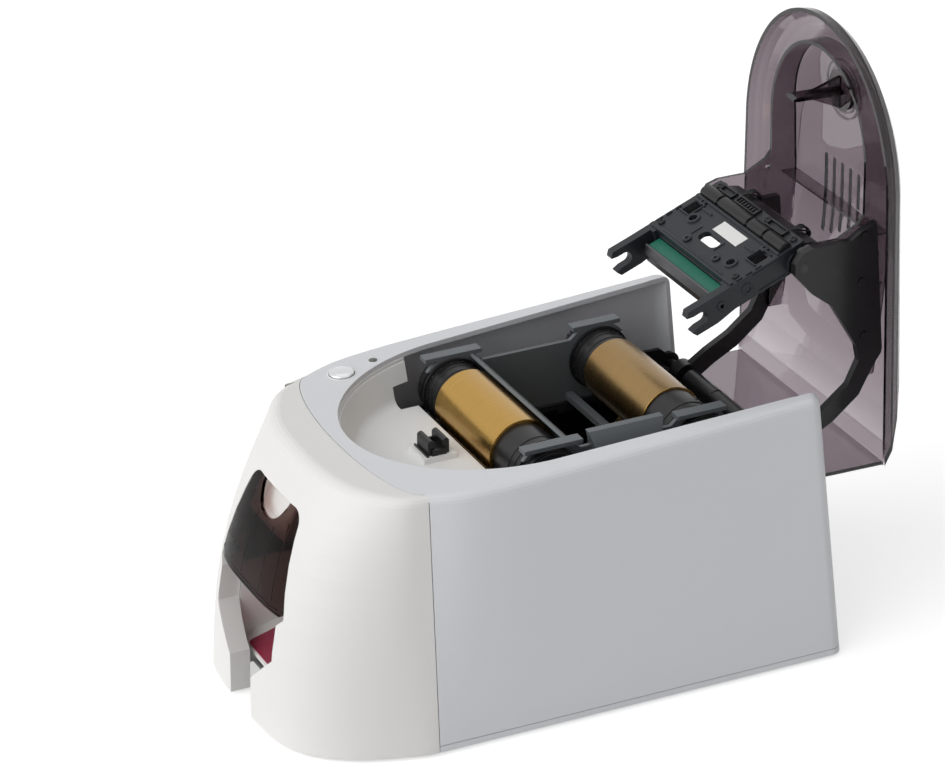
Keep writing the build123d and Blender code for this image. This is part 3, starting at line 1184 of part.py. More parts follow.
feed_top, feed_low = film_leg(SUPPLY_Y, ROLL_R + 0.05, 1)
wind_top, wind_low = film_leg(TAKEUP_Y, WRAP_R + 0.05, -1)
with BuildPart() as ribbon_film:
    dy = FILM_T * run_s
    dz = FILM_T * run_c
    add(plate(-FILM_W, FILM_W, [
        (feed_top[0] - dy, feed_top[1] - dz), (feed_low[0] - dy / 2, FILM_Z), (wind_low[0] + dy / 2, FILM_Z),
        (wind_top[0] + dy, wind_top[1] - dz), wind_top, (wind_low[0] - dy / 4, FILM_Z + FILM_T),
        (feed_low[0] + dy / 4, FILM_Z + FILM_T), feed_top]))
save(ribbon_film.part, "ribbon_film")

COLLAR = 1.7
for name, y, with_gear in (("supply_core", SUPPLY_Y, False), ("takeup_core", TAKEUP_Y, True)):
    with BuildPart() as core:
        add(rod(-SPOOL_END, SPOOL_END, y, SPOOL_Z, CORE_R, BORE_R))
        for x in (-PLATE_IN + 0.4, PLATE_IN - 0.4 - 1.3):
            add(rod(x, x + 1.3, y, SPOOL_Z, CORE_R + COLLAR, BORE_R))
        for x in (-SPOOL_END, PLATE_OUT + 0.4):
            add(rod(x, x + SPOOL_END - PLATE_OUT - 0.4, y, SPOOL_Z, CORE_R + 0.9, BORE_R))
        if with_gear:
            add(gear(SPOOL_GEAR_X, y, SPOOL_Z, SPOOL_TEETH, BORE_R, DRIVE_ANGLE))
            add(rod(SPOOL_GEAR_X, -SPOOL_END, y, SPOOL_Z, CORE_R - 1, BORE_R))
        else:
            add(rod(-SPOOL_END - 3, -SPOOL_END, y, SPOOL_Z, CORE_R - 1, BORE_R))
    save(core.part, name)
with BuildPart() as ribbon_roll:
    add(rod(ROLL_X - ROLL_LEN / 2, ROLL_X + ROLL_LEN / 2, SUPPLY_Y, SPOOL_Z, ROLL_R, CORE_R))
save(ribbon_roll.part, "ribbon_roll")
with BuildPart() as takeup_wrap:
    add(rod(ROLL_X - ROLL_LEN / 2, ROLL_X + ROLL_LEN / 2, TAKEUP_Y, SPOOL_Z, WRAP_R, CORE_R))
save(takeup_wrap.part, "takeup_wrap")
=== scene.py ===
"""Looks of an id card printer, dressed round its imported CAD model.

Everything is in metres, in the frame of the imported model. Places along the printer are written in
millimetres from the joint between its nose and its side walls.
"""

import json
import math
import random

import bmesh
import bpy
from mathutils import Matrix, Vector


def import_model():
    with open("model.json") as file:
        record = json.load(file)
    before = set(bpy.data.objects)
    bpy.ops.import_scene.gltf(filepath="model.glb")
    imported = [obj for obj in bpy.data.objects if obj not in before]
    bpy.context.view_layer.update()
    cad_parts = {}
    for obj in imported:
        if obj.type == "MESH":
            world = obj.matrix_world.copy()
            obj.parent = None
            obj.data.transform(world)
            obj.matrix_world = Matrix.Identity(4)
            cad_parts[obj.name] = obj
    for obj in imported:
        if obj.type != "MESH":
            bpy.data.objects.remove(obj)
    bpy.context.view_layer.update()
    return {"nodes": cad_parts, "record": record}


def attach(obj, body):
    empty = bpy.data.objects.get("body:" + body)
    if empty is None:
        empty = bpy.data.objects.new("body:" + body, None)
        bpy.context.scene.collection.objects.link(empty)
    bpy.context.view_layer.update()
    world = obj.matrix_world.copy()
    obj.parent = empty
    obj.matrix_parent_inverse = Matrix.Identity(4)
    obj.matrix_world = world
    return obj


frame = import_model()

MM = 0.001
ALONG_X = Vector((1, 0, 0))
UPWARDS = Vector((0, 0, 1))

# Places of the model that the pieces are set by
SEAM_Y = -112.74  # the joint between nose and side walls, in the frame of the model
HINGE_Y = 233.0
HINGE_Z = 114.0
LID_OPEN = 91.5  # degrees from shut
RIM_Z = 154.0  # height of the rim at the joint
RIM_TILT = math.radians(2.8)
PLATEN_Y = 143.3
PLATEN_Z = 62.6
HEAD_LEAN = math.radians(23.5)
HEAD_FACE = 8.0  # face of the head carrier, out from the middle of the head
SPOOL_Z = 137.0
SUPPLY_Y = 82.5
TAKEUP_Y = 176.5
BUTTON_PLACE = (-71.0, 19.0)  # on the rim
LIGHT_PLACE = (-76.5, 41.0)

# Light and view
AMBIENT = 0.275
FLOOR_GLOW = 0.56
FLOOR_SIZE = 30.0
CAMERA_PLACE = (1.6568, -0.86194, 1.0991)
CAMERA_AZIMUTH = math.radians(63.792)
CAMERA_ELEVATION = math.radians(26.775)
CAMERA_LENS = 142.57
CAMERA_SENSOR = 36.0
CAMERA_REACH = 100.0

# Sockets of the Mix node when it mixes colours
MIX_FACTOR, MIX_A, MIX_B, MIX_RESULT = 0, 6, 7, 2


# ------------------------------------------------------------------ places
def at(x, y, z):
    """A point in metres from millimetres, y from the joint."""
    return Vector((x, y + SEAM_Y, z)) * MM


def rim(x, y, up=0.0):
    """A point on the rim plane, up above it."""
    return at(x, y * math.cos(RIM_TILT) - up * math.sin(RIM_TILT),
              RIM_Z + y * math.sin(RIM_TILT) + up * math.cos(RIM_TILT))


LID_TURN = (Matrix.Translation(at(0, HINGE_Y, HINGE_Z))
            @ Matrix.Rotation(math.radians(-LID_OPEN), 4, "X")
            @ Matrix.Translation(-at(0, HINGE_Y, HINGE_Z)))


def on_head(x, b, a):
    """A point of the open head: across, up along the head, out of its face."""
    y = PLATEN_Y - a * math.cos(HEAD_LEAN) - b * math.sin(HEAD_LEAN)
    z = PLATEN_Z - a * math.sin(HEAD_LEAN) + b * math.cos(HEAD_LEAN)
    return LID_TURN @ at(x, y, z)


def on_lid(x, y, up):
    """A point of the open lid, given as it lies over the rim when the lid is shut."""
    return LID_TURN @ rim(x, y, up)


def turns(count, first=0.0):
    """Angles evenly spaced round a circle."""
    return [2 * math.pi * k / count + first for k in range(count)]


# ------------------------------------------------------------------ materials
class Finish:
    """A material with its nodes, built up a step at a time."""

    def __init__(self, name):
        self.material = bpy.data.materials.new(name)
        self.material.use_nodes = True
        self.tree = self.material.node_tree
        self.tree.nodes.clear()
        self.out = self.node("OutputMaterial")
        self.shader = self.node("BsdfPrincipled")
        self.join(self.shader, "BSDF", self.out, "Surface")
        self.place = self.node("TexCoord")

    def node(self, kind, **values):
        """Adds a node; a value sets the node's own setting, or else the socket of that name."""
        made = self.tree.nodes.new("ShaderNode" + kind)
        for key, value in values.items():
            if hasattr(made, key):
                setattr(made, key, value)
            else:
                made.inputs[key.replace("_", " ")].default_value = value
        return made

    def join(self, a, out, b, into):
        self.tree.links.new(a.outputs[out], b.inputs[into])

    def set(self, **values):
        """Sets plain values on the shader's own sockets."""
        for key, value in values.items():
            self.shader.inputs[key.replace("_", " ")].default_value = value

    def noise(self, scale, detail, rough, stretch=None):
        """Noise over the object, or pulled out into lines where it is stretched."""
        made = self.node("TexNoise", Scale=scale, Detail=detail, Roughness=rough)
        if stretch:
            mapping = self.node("Mapping", Scale=stretch)
            self.join(self.place, "Object", mapping, "Vector")
            self.join(mapping, "Vector", made, "Vector")
        else:
            self.join(self.place, "Object", made, "Vector")
        return made

    def ramp(self, source, out, stops):
        """Turns a value into greys, by stops of (place, grey)."""
        made = self.node("ValToRGB")
        for element, (place, grey) in zip(made.color_ramp.elements, stops):
            element.position = place
            element.color = (grey, grey, grey, 1.0)
        self.join(source, out, made, "Fac")
        return made

    def roughness(self, source, stops):
        """Lets a noise drive how rough the surface is."""
        self.join(self.ramp(source, "Fac", stops), "Color", self.shader, "Roughness")

    def edges(self, radius):
        """How near a point is to an edge: 0 on flats, rising at edges."""
        rounded = self.node("Bevel", samples=6, Radius=radius)
        flat = self.node("NewGeometry")
        dot = self.node("VectorMath", operation="DOT_PRODUCT")
        self.join(rounded, "Normal", dot, 0)
        self.join(flat, "Normal", dot, 1)
        away = self.node("Math", operation="SUBTRACT")
        away.inputs[0].default_value = 1.0
        self.join(dot, "Value", away, 1)
        return away

    def mix(self, factor, a, b):
        """Mixes two colours, each a colour or another mix, by a factor that is a value or (node, output)."""
        made = self.node("Mix", data_type="RGBA")
        if isinstance(factor, float):
            made.inputs[MIX_FACTOR].default_value = factor
        else:
            self.join(*factor, made, MIX_FACTOR)
        for value, socket in ((a, MIX_A), (b, MIX_B)):
            if isinstance(value, tuple):
                made.inputs[socket].default_value = (*value, 1.0)
            else:
                self.join(value, MIX_RESULT, made, socket)
        return made

    def colour(self, mixed):
        self.join(mixed, MIX_RESULT, self.shader, "Base Color")

    def bumps(self, *layers, rounding=0.0):
        """Stacks bump layers of (node, output, strength, distance) on the shader's normal."""
        previous = self.node("Bevel", samples=6, Radius=rounding) if rounding else None
        for source, out, strength, distance in layers:
            made = self.node("Bump", Strength=strength, Distance=distance)
            self.join(source, out, made, "Height")
            if previous:
                self.join(previous, "Normal", made, "Normal")
            previous = made
        self.join(previous, "Normal", self.shader, "Normal")


def shade(colour, by):
    """A colour made lighter or darker, kept within range."""
    return tuple(max(0.0, min(1.0, c * by)) for c in colour)


def moulded(name, colour, rough, spread=0.03, lift=1.6, wear_and_highlight=0.35, shine=0.5):
    """Moulded plastic: fine spark-eroded grain, faint cloudiness, edges lighter: a touch of wear and a
    painted highlight.

    spread is how far the cloudiness strays from the colour, lift and wear_and_highlight how much lighter the
    edges are, as a painted highlight with some wear.
    """
    rounding = 0.0003
    made = Finish(name)
    cloud = made.noise(9.0, 4.0, 0.6)
    grain = made.noise(2600.0, 2.0, 0.6)
    scuffs = made.noise(60.0, 6.0, 0.75, (1.0, 0.25, 1.0))
    edge = made.edges(rounding * 1.6)
    body = made.mix((cloud, "Fac"), shade(colour, 1 - spread), shade(colour, 1 + spread))
    speck = made.mix((grain, "Fac"), shade(colour, 0.985), shade(colour, 1.015))
    # the edges' lighter colour is a painted highlight along them, with some wear
    edge_wear_and_highlight = made.ramp(edge, "Value", [(0.02, 0.0), (0.5, wear_and_highlight)])
    made.colour(made.mix((edge_wear_and_highlight, "Color"), made.mix(0.4, body, speck), shade(colour, lift)))
    made.roughness(scuffs, [(0.3, rough - 0.05), (0.62, rough + 0.06)])
    made.bumps((grain, "Fac", 0.35, 0.00002), (cloud, "Fac", 0.08, 0.0004), rounding=rounding)
    made.set(IOR=1.5, Specular_IOR_Level=shine)
    return made


def smoked(name, tint, density, ior):
    """Clear smoked plastic: the tint is in its depth, so edges and thick places go dark."""
    made = Finish(name)
    made.set(Base_Color=(1.0, 1.0, 1.0, 1.0), Transmission_Weight=1.0, IOR=ior)
    smear = made.noise(22.0, 6.0, 0.7)
    wave = made.noise(14.0, 2.0, 0.4)
    scratch = made.noise(900.0, 3.0, 0.6, (1.0, 0.02, 0.02))
    made.roughness(smear, [(0.4, 0.004), (0.75, 0.024)])
    made.bumps((wave, "Fac", 0.03, 0.0004), (scratch, "Fac", 0.02, 0.00001))
    clear = made.node("BsdfTransparent")  # for the shadow's rays, so that light comes through
    path = made.node("LightPath")
    either = made.node("MixShader")
    made.join(path, "Is Shadow Ray", either, 0)
    made.join(made.shader, "BSDF", either, 1)
    made.join(clear, "BSDF", either, 2)
    made.join(either, "Shader", made.out, "Surface")
    depth = made.node("VolumeAbsorption", Color=(*tint, 1.0), Density=density)
    made.join(depth, "Volume", made.out, "Volume")
    return made


def metal(name, colour, rough, stretch=(1.0, 60.0, 60.0), line=0.25):
    """Worked metal with fine lines along one way and dull patches."""
    made = Finish(name)
    lines = made.noise(400.0, 4.0, 0.65, stretch)
    patch = made.noise(45.0, 5.0, 0.6)
    tone = made.mix((lines, "Fac"), shade(colour, 1 - line), shade(colour, 1 + line * 0.6))
    made.colour(made.mix((patch, "Fac"), tone, shade(colour, 0.86)))
    made.roughness(patch, [(0.3, rough - 0.06), (0.7, rough + 0.1)])
    made.bumps((lines, "Fac", 0.25, 0.00002), rounding=0.0002)
    made.set(Metallic=1.0)
    return made


def gold(name, colour, rough):
    """Wound metallic film: bands of slightly different tension round the roll."""
    made = Finish(name)
    bands = made.noise(30.0, 8.0, 0.7, (60.0, 0.4, 0.4))
    drift = made.noise(26.0, 3.0, 0.5)
    tone = made.mix((bands, "Fac"), shade(colour, 0.88), shade(colour, 1.12))
    made.colour(made.mix((drift, "Fac"), tone, shade(colour, 0.9)))
    made.roughness(bands, [(0.35, rough - 0.04), (0.65, rough + 0.05)])
    made.bumps((bands, "Fac", 0.12, 0.00003), (drift, "Fac", 0.1, 0.0003))
    made.set(Metallic=1.0, Coat_Weight=0.15, Coat_Roughness=0.25)
    return made


def rubber(name, colour):
    """Dull rubber with dust in its grain."""
    made = Finish(name)
    grain = made.noise(1800.0, 4.0, 0.7)
    dust = made.noise(70.0, 6.0, 0.7)
    made.colour(made.mix((dust, "Fac"), shade(colour, 0.8), shade(colour, 1.9)))
    made.roughness(dust, [(0.3, 0.72), (0.7, 0.9)])
    made.bumps((grain, "Fac", 0.5, 0.00004), rounding=0.0003)
    return made


def circuit(name, mask, copper):
    """Solder mask over tracks, with a fine weave of the board under it."""
    made = Finish(name)
    cells = made.node("TexVoronoi", feature="DISTANCE_TO_EDGE", distance="MANHATTAN", Scale=190.0)
    made.join(made.place, "Object", cells, "Vector")
    tracks = made.ramp(cells, "Distance", [(0.06, 1.0), (0.11, 0.0)])
    weave = made.noise(1500.0, 2.0, 0.5)
    made.colour(made.mix((tracks, "Color"), mask, copper))
    made.roughness(weave, [(0.3, 0.22), (0.7, 0.34)])
    made.bumps((tracks, "Color", 0.3, 0.00004), (weave, "Fac", 0.2, 0.00001))
    made.set(Coat_Weight=0.4, Coat_Roughness=0.15)
    return made


def paper(name, colour):
    """Matt label paper."""
    made = Finish(name)
    fibres = made.noise(2400.0, 6.0, 0.7)
    cloud = made.noise(90.0, 4.0, 0.6)
    made.colour(made.mix((cloud, "Fac"), shade(colour, 0.96), shade(colour, 1.02)))
    made.roughness(fibres, [(0.3, 0.5), (0.7, 0.62)])
    made.bumps((fibres, "Fac", 0.3, 0.00001))
    return made


def printed(name, deep, bright):
    """Glossy printed card: a deep colour that drifts to a brighter one, under a clear overlay."""
    made = Finish(name)
    drift = made.noise(28.0, 2.0, 0.4, (1.0, 0.6, 1.0))
    dots = made.noise(5200.0, 1.0, 0.5)
    tone = made.mix((drift, "Fac"), deep, bright)
    made.colour(made.mix((dots, "Fac"), tone, shade(deep, 1.15)))
    made.roughness(dots, [(0.3, 0.16), (0.7, 0.24)])
    made.bumps((dots, "Fac", 0.1, 0.000005))
    made.set(Coat_Weight=0.8, Coat_Roughness=0.06)
    return made


def silver(name, colour):
    """The button: silver lacquer over a translucent moulding."""
    made = Finish(name)
    flakes = made.noise(700.0, 2.0, 0.6)
    haze = made.noise(300.0, 3.0, 0.6)
    made.colour(made.mix((flakes, "Fac"), shade(colour, 0.96), shade(colour, 1.04)))
    made.roughness(haze, [(0.3, 0.2), (0.7, 0.26)])
    made.bumps((flakes, "Fac", 0.03, 0.000004), rounding=0.0003)
    made.set(Metallic=0.7, Coat_Weight=1.0, Coat_Roughness=0.08)
    return made


LOOKS = {
    # casing and nose are one white plastic: the casing's colour is set darker and cooler as painted shade of
    # the side walls, the nose's lighter and warmer as painted light
    "casing": moulded("casing_plastic_painted_shade", (0.775, 0.787, 0.812), 0.42, spread=0.012, lift=1.06),
    "nose": moulded("nose_plastic_painted_light", (0.845, 0.835, 0.815), 0.42, spread=0.012, lift=1.05),
    "tray": moulded("tray_plastic", (0.87, 0.87, 0.86), 0.45, spread=0.012, lift=1.05),
    "smoked": smoked("smoked_clear", (0.46, 0.39, 0.43), 1030.0, 1.49),
    "window": smoked("window_clear", (0.42, 0.27, 0.235), 1350.0, 1.14),
    # the dark plastics' edges are painted several times lighter: a painted highlight along edges, with some
    # wear
    "black": moulded("black_plastic", (0.011, 0.011, 0.012), 0.30, spread=0.1, lift=7.0, shine=0.32),
    "charcoal": moulded("charcoal_plastic", (0.017, 0.019, 0.023), 0.38, spread=0.08, lift=7.0, wear_and_highlight=0.6,
                        shine=0.27),
    "cassette": moulded("cassette_plastic", (0.115, 0.128, 0.136), 0.4, spread=0.05, lift=3.6, wear_and_highlight=0.5),
    "gold_ribbon": gold("gold_film", (0.47, 0.28, 0.07), 0.24),
    "film": gold("dark_film", (0.30, 0.19, 0.075), 0.3),
    "steel": metal("turned_steel", (0.58, 0.58, 0.60), 0.28),
    "sheet_steel": moulded("coated_sheet", (0.011, 0.011, 0.013), 0.42, spread=0.12, lift=6.0, wear_and_highlight=0.3,
                           shine=0.3),
    "rubber": rubber("roller_rubber", (0.025, 0.025, 0.025)),
    "gear": moulded("gear_plastic", (0.62, 0.61, 0.56), 0.36, lift=1.2),
    "board": circuit("green_board", (0.0, 0.085, 0.052), (0.01, 0.19, 0.11)),
    "card": printed("card_print", (0.22, 0.004, 0.028), (0.40, 0.012, 0.07)),
    "lens": silver("button_silver", (0.66, 0.67, 0.68)),
    "light": moulded("light_pipe", (0.10, 0.12, 0.11), 0.15, spread=0.05, lift=1.5),
    "label": paper("plain_label", (0.82, 0.82, 0.81)),
    "head_metal": metal("anodised", (0.12, 0.12, 0.125), 0.4, (1.0, 8.0, 8.0), line=0.15),
}

# Nodes that look different from the rest of their slot
DARK_STEEL = metal("blackened_steel", (0.05, 0.05, 0.052), 0.35)
OWN_LOOKS = {
    "print_strip": moulded("strip_green", (0.0, 0.115, 0.07), 0.5, spread=0.06, lift=2.2, wear_and_highlight=0.3),
    "head_pivot_pins": DARK_STEEL,
    "hinge_pins": DARK_STEEL,
    "arm_screws": DARK_STEEL,
    "wire_hook": DARK_STEEL,
}

slot_of = {part["node"]: part["material_slot"] for part in frame["record"]["subparts"]}
for node_name, node_object in frame["nodes"].items():
    for material_slot in node_object.material_slots:
        material_slot.material = OWN_LOOKS.get(node_name, LOOKS[slot_of[node_name]]).material


# ------------------------------------------------------------------ forms
SMOOTH_BELOW = math.radians(40.0)  # edges flatter than this are shaded smooth


def piece(name, mesh, body, slot):
    """Links a finished bmesh as a piece that rides on a body and takes a slot's look."""
    data = bpy.data.meshes.new(name)
    bmesh.ops.recalc_face_normals(mesh, faces=mesh.faces)
    mesh.to_mesh(data)
    mesh.free()
    data.shade_smooth()
    data.set_sharp_from_angle(angle=SMOOTH_BELOW)
    made = bpy.data.objects.new(name, data)
    bpy.context.scene.collection.objects.link(made)
    data.materials.append(LOOKS[slot].material)
    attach(made, body)


def lathe(mesh, origin, axis, profile, segments):
    """Adds a turned form, open at its ends: a profile of (radius, height) in millimetres round an axis."""
    axis = axis.normalized()
    across = axis.orthogonal().normalized()
    other = axis.cross(across)
    rings = []
    for radius, height in profile:
        ring = []
        for angle in turns(segments):
            out = across * math.cos(angle) + other * math.sin(angle)
            ring.append(mesh.verts.new(origin + out * radius * MM + axis * height * MM))
        rings.append(ring)
    for a, b in zip(rings, rings[1:]):
        for k in range(segments):
            mesh.faces.new((a[k], a[(k + 1) % segments], b[(k + 1) % segments], b[k]))
    return rings


def turned(mesh, origin, axis, profile, segments):
    """Adds a turned form with closed ends, or a ring where its profile comes back to its start."""
    rings = lathe(mesh, origin, axis, profile, segments)
    if profile[0] != profile[-1]:
        mesh.faces.new(list(reversed(rings[0])))
        mesh.faces.new(rings[-1])
    else:
        bmesh.ops.remove_doubles(mesh, verts=rings[0] + rings[-1], dist=1e-7)


def dome(radius, rise, steps):
    """The section of a shallow dome, from its foot almost to its top."""
    angles = [math.pi / 2 * k / steps for k in range(steps)]
    return [(radius * math.cos(t), rise * math.sin(t)) for t in angles]


def soften(mesh, edges, width):
    bmesh.ops.bevel(mesh, geom=edges, offset=width * MM, segments=2, affect="EDGES", profile=0.6)


def box(mesh, place, low, high, bevel):
    """Adds a bevelled block between two corners, in millimetres, through a function that places points."""
    corners = []
    for z in (low[2], high[2]):
        for x, y in ((low[0], low[1]), (high[0], low[1]), (high[0], high[1]), (low[0], high[1])):
            corners.append(mesh.verts.new(place(x, y, z)))
    sides = [(0, 1, 2, 3), (7, 6, 5, 4), (0, 4, 5, 1), (1, 5, 6, 2), (2, 6, 7, 3), (3, 7, 4, 0)]
    faces = [mesh.faces.new([corners[k] for k in side]) for side in sides]
    edges = dict.fromkeys(edge for face in faces for edge in face.edges)  # each edge once, in a fixed order
    soften(mesh, list(edges), bevel)


def slab(mesh, place, outline, low, high, bevel):
    """Adds a plate of any outline, given as (first, second), between two values of the third coordinate."""
    lower = [mesh.verts.new(place(a, b, low)) for a, b in outline]
    upper = [mesh.verts.new(place(a, b, high)) for a, b in outline]
    count = len(outline)
    mesh.faces.new(lower)
    top = mesh.faces.new(list(reversed(upper)))
    for k in range(count):
        mesh.faces.new((lower[k], upper[k], upper[(k + 1) % count], lower[(k + 1) % count]))
    soften(mesh, list(top.edges), bevel)


def tube(mesh, points, radius, segments=8):
    """Sweeps a circle of a radius in millimetres along points, and closes its ends."""
    rings = []
    side = None
    for k, point in enumerate(points):
        before = points[max(k - 1, 0)]
        after = points[min(k + 1, len(points) - 1)]
        along = (after - before).normalized()
        side = (side - along * side.dot(along)).normalized() if side else along.orthogonal().normalized()
        up = along.cross(side)
        rings.append([mesh.verts.new(point + (side * math.cos(t) + up * math.sin(t)) * radius * MM)
                      for t in turns(segments)])
    for a, b in zip(rings, rings[1:]):
        for j in range(segments):
            mesh.faces.new((a[j], a[(j + 1) % segments], b[(j + 1) % segments], b[j]))
    mesh.faces.new(list(reversed(rings[0])))
    mesh.faces.new(rings[-1])


def screw(mesh, origin, axis, radius, height):
    """Adds a pan-headed screw with a cross recess pressed into it."""
    segments, deep = 24, (0, 1, 5)
    profile = [(radius, 0), (radius, height * 0.45), (radius * 0.9, height * 0.8), (radius * 0.62, height),
               (radius * 0.5, height)]
    rings = lathe(mesh, origin, axis, profile, segments)
    top = rings[-1]
    low = [mesh.verts.new(v.co - axis.normalized() * height * MM * (0.55 if k % 6 in deep else 0.0))
           for k, v in enumerate(top)]
    for k in range(segments):
        mesh.faces.new((top[k], top[(k + 1) % segments], low[(k + 1) % segments], low[k]))
    mesh.faces.new(low)
    mesh.faces.new(list(reversed(rings[0])))


# ------------------------------------------------------------------ print head
SUNK = 0.2  # how far a block is let into the face under it
HEAD_OUT = (on_head(0, 0, 1) - on_head(0, 0, 0)).normalized()
RIDGE_B, RIDGE_HALF, RIDGE_FOOT, RIDGE_RISE, RIDGE_STEPS = 61.0, 4.0, 1.2, 2.6, 10
RIDGE_SPANS = ((-44.5, -27.0), (-24.5, 6.0), (8.5, 24.0), (26.5, 44.5))
RIDGE_GAPS = (-25.8, 7.2, 25.2)
HEAD_SCREWS = ((-41.5, 28.0), (41.5, 29.0), (-41.0, 68.5), (41.0, 68.5), (12.0, 69.0))
HEAD_BOSSES = ((-14.0, 29.5), (17.0, 30.5), (-36.0, 54.0), (34.0, 53.5))
BOSS = [(2.6, 0), (2.6, 0.9), (2.2, 1.2), (1.2, 1.2), (1.1, 0.3), (0.4, 0.3)]
SMALL_SIDE_BOSS = [(2.9, 0), (2.9, 0.7), (2.4, 1.0), (1.3, 1.0), (1.2, 0.2), (0.3, 0.2)]
LARGE_SIDE_BOSS = [(3.6, 0), (3.6, 0.6), (3.1, 0.9), (2.0, 0.9), (1.8, 0.1), (0.4, 0.1)]
SOCKETS = ((-20.0, 2.0, 65.6, 71.4), (14.5, 33.0, 65.6, 71.0), (-38.0, -24.0, 65.8, 71.0))
SOCKET_WALL = 0.9
HEAD_SPRINGS = (-30.0, 24.0)
COIL_TURNS, COIL_STEPS, COIL_PITCH, COIL_RADIUS = 4, 24, 1.25, 4.4


def raised(mesh, low, high, height, bevel):
    """Adds a block that stands on the head's face."""
    box(mesh, on_head, (*low, HEAD_FACE - SUNK), (*high, HEAD_FACE + height), bevel)


def head_section(b, a, x):
    return on_head(x, b, a)


def head_ridge():
    """The rounded ridge across the head in four lengths, with a low link in each gap."""
    near, far, foot = RIDGE_B - RIDGE_HALF, RIDGE_B + RIDGE_HALF, HEAD_FACE + RIDGE_FOOT
    crown = [(RIDGE_B - RIDGE_HALF * math.cos(t), foot + RIDGE_RISE * math.sin(t))
             for t in (math.pi * k / RIDGE_STEPS for k in range(1, RIDGE_STEPS))]
    ridge = [(near, HEAD_FACE), (near, foot), *crown, (far, foot), (far, HEAD_FACE)]
    link = [(57.8, HEAD_FACE), (57.8, HEAD_FACE + 2.2), (64.2, HEAD_FACE + 2.2), (64.2, HEAD_FACE)]
    mesh = bmesh.new()
    for x0, x1 in RIDGE_SPANS:
        slab(mesh, head_section, ridge, x0, x1, 0.5)
    for x in RIDGE_GAPS:
        slab(mesh, head_section, link, x - 1.3, x + 1.3, 0.3)
    piece("head_ridge", mesh, "head", "black")


def head_face():
    """Screws, bosses, ribs and sockets on the face of the head."""
    mesh = bmesh.new()
    for x, b in HEAD_SCREWS:
        screw(mesh, on_head(x, b, HEAD_FACE), HEAD_OUT, 2.1, 1.3)
    piece("head_screws", mesh, "head", "sheet_steel")

    mesh = bmesh.new()
    for x, b in HEAD_BOSSES:
        turned(mesh, on_head(x, b, HEAD_FACE), HEAD_OUT, BOSS, 32)
    piece("head_bosses", mesh, "head", "charcoal")

    mesh = bmesh.new()
    for s in (-1, 1):
        for b in (27.5, 34.0, 40.5):
            raised(mesh, (s * 45.2 - 0.7, b - 0.6), (s * 45.2 + 0.7, b + 3.4), 0.8, 0.25)
        for b in (41.0, 52.1):
            raised(mesh, (s * 37.5 - 5.6, b), (s * 37.5 + 5.6, b + 0.9), 0.9, 0.2)
        raised(mesh, (s * 32.4 - 0.45, 41.4), (s * 32.4 + 0.45, 52.6), 0.9, 0.2)
    for x in (-17.0, 8.4):
        raised(mesh, (x, 33.6), (x + 0.8, 41.4), 0.5, 0.15)
    box(mesh, on_head, (-34.0, 24.2, HEAD_FACE + 0.8), (34.0, 25.0, HEAD_FACE + 1.4), 0.2)
    piece("head_ribs", mesh, "head", "charcoal")

    mesh = bmesh.new()
    for x0, x1, b0, b1 in SOCKETS:
        for low, high in (((x0, b0), (x1, b0 + SOCKET_WALL)), ((x0, b1 - SOCKET_WALL), (x1, b1)),
                          ((x0, b0), (x0 + SOCKET_WALL, b1)), ((x1 - SOCKET_WALL, b0), (x1, b1))):
            raised(mesh, low, high, 1.5, 0.2)
    for x in (-17.6 + 2.9 * k for k in range(7)):
        raised(mesh, (x - 0.5, 67.0), (x + 0.5, 70.0), 0.9, 0.2)
    piece("head_sockets", mesh, "head", "black")


def head_springs():
    """Two coil springs behind the ridge, each with a leg that runs forward."""
    mesh = bmesh.new()
    for x in HEAD_SPRINGS:
        points = []
        for k in range(COIL_TURNS * COIL_STEPS + 1):
            t = 2 * math.pi * k / COIL_STEPS
            points.append(on_head(x + COIL_PITCH * k / COIL_STEPS, 79.5 + COIL_RADIUS * math.cos(t),
                                  -1.5 + COIL_RADIUS * math.sin(t)))
        points.append(on_head(x + 5.2, 76.0, 5.0))
        points.append(on_head(x + 5.2, 70.0, 6.4))
        tube(mesh, points, 0.55)
    piece("head_springs", mesh, "head", "sheet_steel")


def head_sides():
    """Bosses and ribs on the head's two side walls."""
    mesh = bmesh.new()
    for s in (-1, 1):
        turned(mesh, on_head(s * 46.6, 13.5, 0.0), ALONG_X * s, SMALL_SIDE_BOSS, 32)
        turned(mesh, on_head(s * 46.6, 31.0, 0.5), ALONG_X * s, LARGE_SIDE_BOSS, 32)
        for a in (-5.4, 5.8):
            box(mesh, on_head, (s * 46.9 - 0.5, 37.0, a), (s * 46.9 + 0.5, 55.0, a + 0.8), 0.2)
    piece("head_side_bosses", mesh, "head", "charcoal")


# ------------------------------------------------------------------ spools
CORE_END = [(17.0, -0.2), (17.0, 0.35), (16.4, 0.6), (15.4, 0.6), (15.0, 0.25), (14.6, 0.25), (14.2, 0.5),
            (13.5, 0.5), (13.3, -0.3), (13.3, -4.0), (17.0, -0.2)]
CORE_HOOP = [(17.4, -0.6), (17.95, -0.3), (17.95, 0.3), (17.4, 0.6), (17.4, -0.6)]
CORE_RADIUS = 17.6  # where the wound film starts
FILM_MIDDLE = -6.5
FILM_HALF = 34.5
TURN_STEP = 0.13  # how much thicker the roll gets by each ledge at its edge
TURN_STRAY = 0.12  # how far out a turn of film may stand at its edge


def round_core(y, x, turn, radius):
    """A function that places points by a spot on a core: along it, round it and out of it."""
    along = Vector((0, math.cos(turn), math.sin(turn)))
    across = ALONG_X.cross(along)
    middle = at(x, y, SPOOL_Z) + along * radius * MM
    return lambda a, b, c: middle + ALONG_X * a * MM + across * b * MM + along * c * MM


